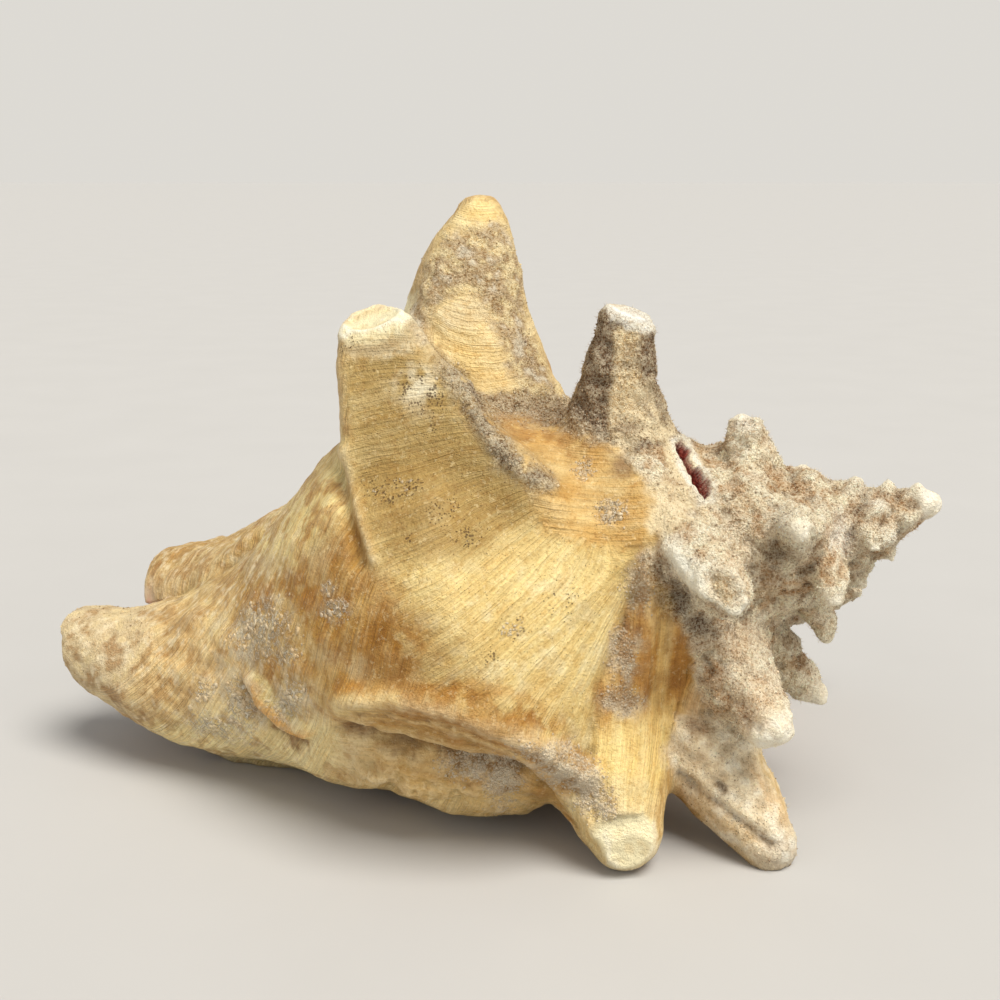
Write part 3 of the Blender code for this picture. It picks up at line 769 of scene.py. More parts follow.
n30, n11, n5, n2 = cloud(co, 30, 3, 1), cloud(co, 11, 3, 2), cloud(co, 5, 3, 4), cloud(co, 2.2, 2, 6)
n5 = .5 + 1.45 * (.60 * (n5 - .5) + .40 * (n2 - .5))      # patches with broken edges
n11 = .5 + 1.25 * (.72 * (n11 - .5) + .28 * (n2 - .5))
streaks = cloud(np.stack((s_co * .9 - phi * .45, s_co * .10 + phi * .10, rad * .05), 1), 5.0, 3, 41)
paint(smooth(n30, .42, .66) * .75, (224, 200, 150))
paint(smooth(n11, .50, .72) * .55, (182, 132, 68))
paint(smooth(streaks, .50, .70) * .45, (226, 204, 158))
paint(smooth(1 - streaks, .56, .74) * .4, (172, 128, 70))

# canal and left of the body
paint(w * area(ragged, [(55, 580), (160, 580), (178, 620), (168, 700), (120, 730), (55, 700)], 16) * .8, (222, 200, 158))
paint(w * area(ragged, [(60, 590), (200, 590), (260, 760), (60, 760)], 20) * smooth(n5, .50, .62) * .6, (168, 136, 90))
paint(w * area(ragged, [(240, 560), (345, 446), (372, 560), (395, 640), (330, 690), (250, 660), (210, 620)], 20) * .85, (198, 152, 68))
# the first patch, at 290 520, is a painted sheen on the upper body; the others are pale cream patches
paint(w * dots(ragged, [(290, 520, 24, 34, 40), (318, 552, 16, 24, 20, .8), (262, 560, 18, 18, 0, .8), (330, 655, 20, 12, 0, .7),
                    (356, 668, 16, 10, 0, .8)]) * .6, (226, 212, 176))
paint(w * dots(ragged, [(300, 590, 60, 26, -35), (380, 640, 44, 30, 20), (345, 610, 34, 24, 0), (430, 670, 40, 18, 10)]) * smooth(n5, .42, .54) * .8, (174, 122, 48))
paint(w * dots(ragged, [(237, 648, 15, 11, 30), (292, 664, 16, 10, 0, .8), (382, 694, 22, 9, -8), (352, 684, 16, 8, 0),
                    (440, 640, 20, 12, 0, .7), (262, 600, 14, 20, 30, .6), (312, 596, 18, 10, 0, .5)]) * .85, (218, 158, 66))
# the two patches at 372 704 and 346 708 are a painted highlight on the fold's crest; the one at 182 592 is a pale
# streak
paint(w * dots(ragged, [(182, 592, 26, 7, -14, .8), (372, 704, 26, 7, -8, .8), (346, 708, 14, 8, 0, .8)]) * .85, (244, 222, 158))
paint(w * ridge(ragged, [(209, 604), (213, 626), (222, 642)], 6), (250, 226, 150))
paint(w * dots(ragged, [(213, 667, 12, 9, 0), (190, 640, 14, 10, 0, .6), (150, 640, 14, 9, 0, .6), (200, 712, 16, 10, 0, .5), (120, 650, 16, 12, 0, .5)]) * .6, (150, 112, 78))
paint(w * area(ragged, [(170, 690), (330, 725), (345, 780), (210, 768), (140, 735)], 14) * .95, (255, 236, 176))
paint(w * area(ragged, [(150, 600), (230, 590), (250, 680), (190, 720), (130, 700)], 16) * .7, (255, 222, 160))
paint(w * area(ragged, [(250, 545), (345, 440), (352, 505), (300, 570)], 14) * .95, (255, 234, 166))
paint(w * area(ragged, [(262, 540), (345, 446), (345, 500), (300, 560)], 16) * smooth(n5, .50, .60) * .6, (220, 168, 84))

paint(w * smooth(U, 420, 330) * smooth(n5, .56, .64) * .5, (178, 130, 68))
paint(w * smooth(U, 360, 290) * smooth(1 - n5, .56, .66) * .5, (246, 222, 164))
paint(w * smooth(U, 330, 270) * smooth(cloud(co, 1.7, 2, 181), .60, .70) * .5, (255, 240, 204))
# ramp, lower face and the faces of the two large spines
ramp = w * area(ragged, [(372, 560), (350, 450), (345, 330), (410, 330), (470, 430), (520, 480), (640, 545), (634, 600), (612, 650), (596, 690),
                     (590, 752), (560, 742), (480, 706), (430, 690), (400, 640)], 12)
paint(ramp * .95, (236, 212, 146))
paint(ramp * smooth(n11, .45, .7) * .5, (214, 184, 114))
# the broad spine's face, painted darker: partly its greyer tan colour, partly painted shade where it faces away from
# the light above
paint(w * area(ragged, [(345, 330), (410, 330), (470, 430), (520, 480), (540, 520), (470, 560), (385, 560), (352, 470)], 22) * .9, (170, 140, 80))
paint(ramp * smooth(n5, .56, .7) * .4 * smooth(V, 540, 600), (238, 226, 184))
paint(w * dots(ragged, [(396, 640, 36, 32, 20), (440, 690, 44, 11, 8), (520, 718, 50, 10, 14), (386, 596, 22, 24, 0, .7), (350, 630, 26, 26, 0, .7)]) * smooth(n5, .28, .48) * .9, (176, 126, 46))
paint(w * dots(ragged, [(470, 690, 50, 9, 10), (380, 660, 16, 16, 0, .6), (548, 690, 24, 18, 40, .5)]) * .45, (214, 160, 76))
paint(w * dots(ragged, [(422, 388, 26, 23, 20)]) * smooth(n2, .36, .56) * .9, (240, 230, 200))
paint(w * ridge(ragged, [(410, 676), (450, 690), (500, 700), (545, 726), (584, 764)], 7) * smooth(n5, .35, .6) * .8, (188, 136, 60))
paint(w * ridge(ragged, [(470, 680), (520, 694), (560, 722)], 5) * .5, (200, 150, 74))
paint(w * area(ragged, [(334, 298), (414, 292), (420, 322), (398, 338), (350, 348), (338, 330)], 4), (244, 232, 190))
paint(w * area(ragged, [(340, 332), (350, 346), (398, 338), (420, 322), (424, 346), (390, 356), (352, 360)], 5) * .6, (236, 226, 196))
# painted shadow below the rim of the broad spine's worn tip
paint(w * ridge(uv, [(342, 348), (366, 352), (392, 344), (412, 326)], 6) * .55, (168, 144, 100))

paint(w * dots(ragged, [(335, 565, 44, 62, 20), (400, 652, 60, 40, 20), (455, 716, 70, 22, 14)]) * .42, (150, 100, 22))

# orange ramp beside the slot and the tall spine
orange = w * area(ragged, [(500, 424), (560, 420), (620, 448), (655, 500), (664, 545), (600, 548), (540, 530), (520, 480)], 9)
paint(orange * .9, (216, 176, 106))
paint(orange * smooth(streaks, .42, .6) * .6, (228, 200, 140))
paint(w * area(ragged, [(496, 414), (560, 414), (612, 436), (566, 456), (512, 446)], 9) * smooth(n5, .34, .54) * .6, (168, 122, 66))
tall = w * area(ragged, [(412, 299), (438, 236), (468, 198), (484, 192), (515, 228), (528, 288), (552, 366), (584, 400), (520, 412), (480, 405), (440, 350)], 6)
paint(tall * .9, (246, 224, 168))
paint(w * dots(ragged, [(484, 210, 24, 16, 0), (460, 370, 22, 26, 20)]) * .7, (246, 216, 142))
paint(w * area(ragged, [(440, 314), (454, 299), (468, 293), (484, 304), (490, 322), (446, 330)], 5) * .8, (240, 224, 184))
paint(a_crust * smooth(n5 + .3 * n2, .5, .72) * .9, (172, 136, 86))
paint(a_crust * smooth(n5 + .3 * n2, .8, .92) * .9, (226, 214, 190))
paint(a_base * .85, (146, 110, 68))
paint(a_base * smooth(n2, .55, .66) * .7, (224, 204, 166))
paint(edge_b * .95, (98, 64, 30))
paint(edge_b * smooth(n2, .60, .70) * .8, (206, 182, 140))

# crust of the spire
cr = np.clip(spire_front + spire_back, 0, 1) * outer
paint(cr, (255, 244, 214))
n3 = cloud(co, 2.8, 3, 131)
paint(cr * smooth(n11 * .5 + n5 * .5, .48, .58) * .8, (202, 154, 94))
paint(cr * smooth(n3, .50, .60) * .6, (184, 134, 76))
paint(cr * smooth(cloud(co, 7.5, 3, 171), .50, .60) * .6, (176, 128, 74))
paint(cr * smooth(cloud(co, 7.5, 3, 172), .54, .64) * .6, (255, 246, 222))
paint(cr * smooth(1 - n3, .55, .66) * .6, (255, 242, 208))
# painted shade: the spire's crust darkened in its hollows, between the lumps and knobs
paint(cr * smooth(-edge2, .15, .65) * .85, (146, 104, 58))
paint(cr * smooth(cloud(co, 4.0, 3, 121), .54, .64) * .75, (250, 240, 216))
paint(cr * smooth(edge2, .18, .7) * .85, (255, 250, 230))
paint(crown * .95, (100, 61, 19))
paint(w * area(ragged, [(616, 330), (637, 334), (640, 380), (648, 432), (608, 440), (612, 380)], 5) * (.55 + .45 * smooth(n2 + .4 * n5, .42, .66)), (242, 216, 166))
paint(w * area(ragged, [(604, 304), (655, 316), (656, 332), (640, 336), (624, 326), (606, 316)], 2.5), (255, 253, 244))
paint(cut_e, (255, 253, 244))
paint(cut_b, (248, 236, 194))
paint(cut_b * smooth(n2, .5, .6) * .5, (232, 208, 154))
paint(cut_b * smooth(edge1, .0, .5), (255, 250, 228))
paint(chalk * .9, (242, 222, 180))
paint(w * dots(ragged, [(627, 427, 15, 11, 0), (623, 466, 13, 15, 20), (640, 445, 8, 8, 0, .6), (612, 446, 12, 8, 0, .7)]) * smooth(n2, .3, .55) * .85, (146, 118, 86))
paint(knob_tip * (.55 + .45 * w) * smooth(n2, .25, .5), (254, 248, 230))
paint(np.clip(f_ridge * 1.3, 0, 1) * smooth(n2, .08, .3), (255, 252, 236))
paint(w * dots(ragged, [(690, 567, 19, 12, 52), (704, 578, 15, 9, 40, .8)]) * smooth(n2, .2, .4) * .9, (255, 252, 236))
paint(f_bowl * (.5 + .5 * smooth(n2, .35, .6)) * .8, (232, 208, 162))
# dark brown fuzz below and left of the white ridged knob, and below a small knob at 776 553: partly their brown colour,
# partly painted shadow under the knobs
paint(w * dots(ragged, [(660, 578, 15, 24, -20), (672, 604, 26, 24, 35), (702, 628, 28, 14, 20), (776, 553, 18, 12, 0)]) * .95, (100, 66, 32))
# painted light: a lit patch on the spire at 841 536
paint(w * dots(ragged, [(841, 536, 13, 22, -10)]) * .9, (255, 244, 230))
paint(w * dots(ragged, [(876, 509, 10, 8, 0), (860, 486, 10, 6, 0, .8), (748, 425, 11, 9, 0), (787, 527, 9, 10, 0), (888, 537, 7, 6, 0), (889, 486, 7, 5, 0), (918, 490, 8, 5, 0), (930, 498, 12, 9, 0), (745, 408, 8, 6, 0)]) * .9, (255, 250, 236))
paint(w * dots(ragged, [(740, 560, 20, 30, 0, .5), (760, 700, 20, 22, 0, .7), (740, 640, 24, 16, 0, .6), (700, 700, 14, 20, 0, .5)]), (244, 216, 180))

# feet
band = w * area(ragged, [(648, 560), (668, 600), (690, 640), (688, 680), (664, 752), (660, 800), (604, 800), (592, 752), (598, 690), (614, 650), (632, 604)], 6)
paint(band * .95, (206, 156, 78))
paint(band * smooth(V, 690, 740) * .9, (255, 232, 158))
stripes = cloud(np.stack((U + .12 * V, V * .10, 0 * U), 1), 6.0, 3, 191)
paint(band * smooth(stripes, .50, .58) * .6 * smooth(V, 770, 690), (176, 124, 56))
paint(band * smooth(1 - stripes, .52, .60) * .6, (248, 216, 144))
paint(band * smooth(n5, .54, .62) * .4 * smooth(V, 740, 680), (160, 112, 54))
paint(w * ridge(ragged, [(632, 630), (626, 670), (622, 704)], 9) * smooth(n5, .36, .50) * .85, (142, 104, 66))
paint(w * dots(ragged, [(623, 708, 15, 10, 0)]) * smooth(n2, .3, .5), (240, 230, 204))
paint(c_patch * .8, (176, 134, 84))
paint(c_patch * smooth(n2, .56, .7), (232, 218, 190))
paint(w * area(ragged, [(560, 800), (600, 770), (662, 790), (664, 860), (630, 885), (590, 870)], 8) * .85, (240, 218, 160))
paint(w * dots(ragged, [(630, 846, 31, 31, 0)]) * .9, (255, 240, 192))
paint(cut_c, (255, 242, 198))
paint(w * dots(ragged, [(630, 846, 33, 33, 0)]) * smooth(n2, .52, .62) * .5, (226, 200, 146))
paint(w * ridge(ragged, [(600, 838), (606, 862), (628, 876), (650, 868), (659, 845), (656, 826)], 4) * .7, (248, 240, 212))
paint(w * area(ragged, [(664, 760), (676, 716), (732, 712), (765, 770), (806, 850), (770, 876), (716, 832)], 8) * .95, (255, 238, 204))
paint(w * ridge(ragged, [(700, 800), (740, 836), (766, 852)], 9) * .7, (224, 184, 120))
paint(w * dots(ragged, [(782, 850, 24, 20, 30)]) * .95, (255, 252, 240))
paint(w * ridge(ragged, [(752, 770), (770, 796), (784, 818)], 6) * .6, (232, 184, 118))
paint(w * ridge(ragged, [(681, 774), (704, 794), (731, 813), (753, 831), (772, 845)], 4) * .5, (158, 116, 70))
paint(d_top * smooth(n3, .48, .60) * .5, (196, 164, 120))
paint(d_top * smooth(1 - n3, .54, .66) * .6, (255, 248, 228))
paint(w * dots(ragged, [(722, 788, 5, 9, -30)]), (128, 92, 52))
paint(w * dots(ragged, [(700, 730, 26, 16, 20, .8), (740, 712, 14, 12, 0, .7)]) * smooth(n5, .4, .6), (176, 142, 104))

# folds under the face
paint(w * ridge(ragged, [(400, 706), (470, 728), (540, 756), (584, 786)], 14) * .6, (176, 120, 46))
# painted shadow in the groove beneath the fold's crest
paint(w * ridge(ragged, [(345, 728), (400, 750), (470, 764), (520, 772)], 8) * .8, (124, 88, 46))
paint(w * area(ragged, [(330, 770), (420, 780), (548, 800), (548, 822), (420, 812), (330, 790)], 7) * .6, (240, 214, 150))
paint(w * ridge(ragged, [(250, 681), (263, 703), (281, 721), (302, 734)], 8), (232, 172, 76))
paint(w * ridge(ragged, [(257, 675), (271, 697), (290, 715), (308, 727)], 3.4), (250, 230, 168))
# painted shadow along the lower-left side of the raised crescent
paint(w * ridge(ragged, [(240, 686), (252, 710), (274, 732), (302, 745)], 4) * .8, (140, 96, 50))
paint(w * ridge(ragged, [(345, 720), (392, 711), (455, 727), (520, 752)], 3.5) * .65, (244, 214, 148))
paint(w * ridge(ragged, [(360, 714), (420, 714), (480, 738), (540, 764)], 2.6) * .4, (150, 106, 52))
paint(w * ridge(ragged, [(340, 740), (392, 758), (455, 776), (512, 782)], 3) * .5, (236, 208, 150))
# painted highlight on the left end of the fold's crest
paint(w * ridge(ragged, [(338, 700), (370, 694), (400, 694)], 5) * .7, (250, 228, 166))
flakes_n = cloud(co, 1.9, 2, 195)
paint(flaky * smooth(flakes_n, .46, .40) * .8, (138, 104, 66))
paint(flaky * smooth(flakes_n, .50, .55) * .95, (222, 210, 186))
plates = w * dots(ragged, [(556, 756, 34, 20, 30), (590, 790, 18, 28, -10), (510, 776, 22, 22, 20), (240, 640, 30, 36, 30), (245, 706, 26, 36, -10), (296, 700, 20, 26, 0)])
paint(plates * smooth(cloud(co, 2.6, 2, 196), .58, .62) * .75, (232, 220, 192))

# hidden sides: quieter, with the same ochre and cream
rest = back * outer * (1 - crust)
bands = cloud(np.stack((arc + .25 * s_co, s_co * .16, rad * .1), 1), 8.0, 3, 151)
paint(rest * smooth(cloud(co, 24, 3, 51), .42, .62) * .7, (222, 180, 108))
paint(rest * smooth(bands, .50, .60) * .65, (244, 220, 162))
paint(rest * smooth(1 - bands, .52, .62) * .65, (196, 140, 62))
paint(rest * smooth(n11, .54, .64) * .55, (206, 146, 58))
paint(rest * smooth(1 - n5, .58, .68) * .6, (248, 230, 182))
paint(rest * smooth(n5, .60, .68) * .6, (168, 116, 58))
paint(rest * smooth(cloud(co, 13, 2, 152), .62, .72) * smooth(n2, .40, .55) * .8, (200, 188, 162))
paint(rest * smooth(phi, 178, 196) * smooth(phi, 240, 215) * .35, (250, 226, 180))
paint(inside, (236, 190, 166))
rim_in = smooth(mean(inside, 6), .08, .5) * (1 - smooth(mean(inside, 6), .5, .95))
paint(inside * smooth(s_co, 120, 190) * .5, (240, 206, 176))
paint(inside * smooth(n30, .45, .7) * .5, (226, 156, 136))
paint(rim_in * .7, (240, 222, 190))
paint(np.clip(rim * 1.2, 0, 1), (246, 242, 228))
paint(smooth(mean(hole, 1), .08, .28), (136, 34, 26))

# darker in hollows and paler on raised edges, at two scales; then darker near the floor
tint *= (1 - .22 * np.clip(-edge1, 0, 1) * outer - .20 * np.clip(-edge2, 0, 1) * outer)[:, None]
k = (np.clip(edge1, 0, 1) * .22 + np.clip(edge2, 0, 1) * .16) * outer
paint(k, (250, 236, 200))
# painted shade: darker within 10 mm of the floor
tint *= (1 - .25 * low_z)[:, None]

# where small dark pits, glassy flecks and lines of growth show
pits = w * dots(ragged, [(380, 491, 15, 11, 0), (411, 484, 17, 9, -20), (465, 538, 13, 8, 20), (404, 538, 6, 4, 0), (514, 628, 13, 9, 0), (492, 657, 7, 7, 0),
                     (424, 392, 26, 22, 20, .7), (346, 348, 10, 16, 0, .5), (585, 468, 9, 9, 0), (610, 512, 16, 12, 0), (446, 510, 20, 14, 0, .4),
                     (430, 430, 6, 8, 0, .8), (560, 600, 20, 20, 0, .3)])
pits = np.clip(pits + .18 * ramp + .15 * outer * (1 - crust) + .22 * d_top, 0, 1)
fleck = w * dots(ragged, [(262, 630, 24, 30, 35), (240, 706, 15, 30, -10), (292, 700, 14, 22, 20), (336, 610, 14, 12, 0), (285, 655, 12, 12, 0),
                      (215, 725, 24, 12, 20), (584, 470, 10, 9, 0), (612, 512, 14, 12, 0), (330, 590, 7, 6, 0), (205, 690, 10, 10, 0)])
paint(fleck * smooth(n2, .40, .55) * .75, (208, 186, 146))

# lines of growth: across and along, in millimetres
ax, az = co[:, 0] - 34.0, co[:, 2] - 84.0
D = np.hypot(ax, az) + 4.0
alpha = np.degrees(np.arctan2(az, -ax))
kappa = np.clip(.1 + .014 * (alpha + 31), 0, .8)
fan = (np.radians(alpha) + kappa * np.log(D / 50.0)) * 46.0
# from the foot spine the lines run down its length; on the tall spine they cross it in arcs
foot = np.clip(area(uv, [(648, 560), (668, 600), (690, 640), (688, 680), (664, 752), (664, 880), (590, 880), (592, 752), (598, 690), (614, 650), (632, 604)], 5), 0, 1) * w
ribs = (V - 0.16 * (U - 470) + 0.006 * (U - 470) ** 2) / 4.2
thread = s_co * 1.0 - phi / 1.75
flow_a = np.stack((thread, arc, rad), 1)
flow_d = np.stack((arc * .8 + .2 * s_co + 5 * (cloud(co, 16, 2, 171) - .5), s_co, rad), 1)
flow_b = np.stack((fan, D, np.zeros(len(co))), 1)
low_band = w * area(uv, [(330, 696), (400, 690), (470, 706), (560, 745), (596, 770), (560, 812), (330, 770)], 26)
flow_o = np.stack(((V - .14 * (U - 560) + .0012 * (U - 560) ** 2) / 4.3, U / 4.3, 0 * U), 1)
flow_c = np.where((orange > .5)[:, None], flow_o, np.where((foot > .5)[:, None], np.stack((U / 4.4 + V / 40, V / 4.4, 0 * U), 1),
                  np.where((tall > .5)[:, None], np.stack((ribs, U / 4.4, 0 * U), 1),
                           np.stack((V / 3.6 - U / 13.0 + 6 * cloud(co, 20, 2, 71), U / 4.4, 0 * U), 1))))
use_c = np.clip(smooth(foot, .6, .95) + smooth(tall, .6, .95) + smooth(low_band, .3, .9) + smooth(orange, .5, .9), 0, 1)
use_b = np.clip(ramp + orange, 0, 1)
hole_all = smooth(hole, .03, .25)


def store(me, name, kind, values):
    a = me.attributes.new(name, kind, "POINT")
    if kind == "FLOAT":
        a.data.foreach_set("value", np.ascontiguousarray(values, dtype=np.float32))
    elif kind == "FLOAT_VECTOR":
        a.data.foreach_set("vector", np.ascontiguousarray(values, dtype=np.float32).ravel())
    else:
        full = np.concatenate((np.clip(values, 0, 1), np.ones((len(values), 1))), 1)
        a.data.foreach_set("color", np.ascontiguousarray(full, dtype=np.float32).ravel())


skin.data.vertices.foreach_set("co", to_frame(co).ravel())
skin.data.update()
skin.data.polygons.foreach_set("use_smooth", np.ones(len(skin.data.polygons), bool))
crust_show = np.clip(np.maximum(crust, .4 * d_top + .25 * canal_end) * (1 - .7 * knob_tip) * (1 - .8 * f_ridge) * (1 - .5 * chalk) * (1 - hole), 0, 1)
shine = np.clip(inside * .9 + .35 * low_band + w * .5 * dots(uv, [(380, 700, 40, 16, 0), (300, 620, 60, 60, 0)]), 0, 1)
store(skin.data, "tint", "FLOAT_COLOR", tint)
for name, values in (("crust", crust_show), ("chalk", np.clip(chalk + knob_tip + f_ridge + cuts + .9 * d_top + .8 * canal_end, 0, 1)), ("mouth", inside), ("use_b", use_b),
                     ("use_c", use_c), ("pits", pits), ("fleck", fleck), ("shine", shine), ("hole", hole_all)):
    store(skin.data, name, "FLOAT", values)
store(skin.data, "flow_a", "FLOAT_VECTOR", flow_a)
store(skin.data, "flow_d", "FLOAT_VECTOR", flow_d)
store(skin.data, "use_d", "FLOAT", smooth(back, .2, .9))
store(skin.data, "flow_b", "FLOAT_VECTOR", flow_b)
store(skin.data, "flow_c", "FLOAT_VECTOR", flow_c)


# ============================================================ materials
class Tree:
    """A material and short calls that add its nodes."""

    def __init__(self, name):
        self.mat = bpy.data.materials.new(name)
        self.mat.use_nodes = True
        self.nt = self.mat.node_tree
        self.bsdf = self.nt.nodes["Principled BSDF"]

    def put(self, socket, value):
        if isinstance(value, bpy.types.NodeSocket):
            self.nt.links.new(value, socket)
        else:
            socket.default_value = value

    def attr(self, name, out="Fac"):
        n = self.nt.nodes.new("ShaderNodeAttribute")
        n.attribute_name = name
        return n.outputs[out]

    def math(self, op, a, b=0.0):
        n = self.nt.nodes.new("ShaderNodeMath")
        n.operation = op
        self.put(n.inputs[0], a)
        self.put(n.inputs[1], b)
        return n.outputs[0]

    def mul(self, a, b):
        return self.math("MULTIPLY", a, b)

    def add(self, a, b):
        return self.math("ADD", a, b)

    def vec(self, op, v, k):
        n = self.nt.nodes.new("ShaderNodeVectorMath")
        n.operation = op
        self.put(n.inputs[0], v)
        self.put(n.inputs[1], k)
        return n.outputs[0]

    def noise(self, vec, scale=1.0, detail=2.0, rough=.5, dist=0.0, out="Fac"):
        n = self.nt.nodes.new("ShaderNodeTexNoise")
        self.put(n.inputs["Vector"], vec)
        n.inputs["Scale"].default_value = scale
        n.inputs["Detail"].default_value = detail
        n.inputs["Roughness"].default_value = rough
        n.inputs["Distortion"].default_value = dist
        return n.outputs[out]

    def cells(self, vec, scale=1.0, feature="F1", out="Distance"):
        n = self.nt.nodes.new("ShaderNodeTexVoronoi")
        n.feature = feature
        self.put(n.inputs["Vector"], vec)
        n.inputs["Scale"].default_value = scale
        return n.outputs[out]

    def remap(self, v, a, b, c=0.0, d=1.0):
        n = self.nt.nodes.new("ShaderNodeMapRange")
        n.interpolation_type = "SMOOTHSTEP"
        self.put(n.inputs["Value"], v)
        for k, x in zip(("From Min", "From Max", "To Min", "To Max"), (a, b, c, d)):
            self.put(n.inputs[k], x)
        return n.outputs[0]

    def mix(self, fac, a, b, mode="MIX"):
        n = self.nt.nodes.new("ShaderNodeMix")
        n.data_type = "RGBA"
        n.blend_type = mode
        self.put(n.inputs[0], fac)
        self.put(n.inputs[6], a)
        self.put(n.inputs[7], b)
        return n.outputs[2]

    def blend(self, fac, a, b):
        n = self.nt.nodes.new("ShaderNodeMix")
        n.data_type = "FLOAT"
        self.put(n.inputs[0], fac)
        self.put(n.inputs[2], a)
        self.put(n.inputs[3], b)
        return n.outputs[0]

    def grey(self, v):
        n = self.nt.nodes.new("ShaderNodeCombineColor")
        for i in range(3):
            self.put(n.inputs[i], v)
        return n.outputs[0]

    def object_mm(self):
        n = self.nt.nodes.new("ShaderNodeTexCoord")
        return self.vec("MULTIPLY", n.outputs["Object"], (1000, 1000, 1000))

    def bump(self, height, strength=1.0):
        n = self.nt.nodes.new("ShaderNodeBump")
        n.inputs["Distance"].default_value = 0.001
        n.inputs["Strength"].default_value = strength
        self.put(n.inputs["Height"], height)
        self.nt.links.new(n.outputs[0], self.bsdf.inputs["Normal"])


def rgba(rgb):
    c = lin(rgb)
    return (float(c[0]), float(c[1]), float(c[2]), 1.0)


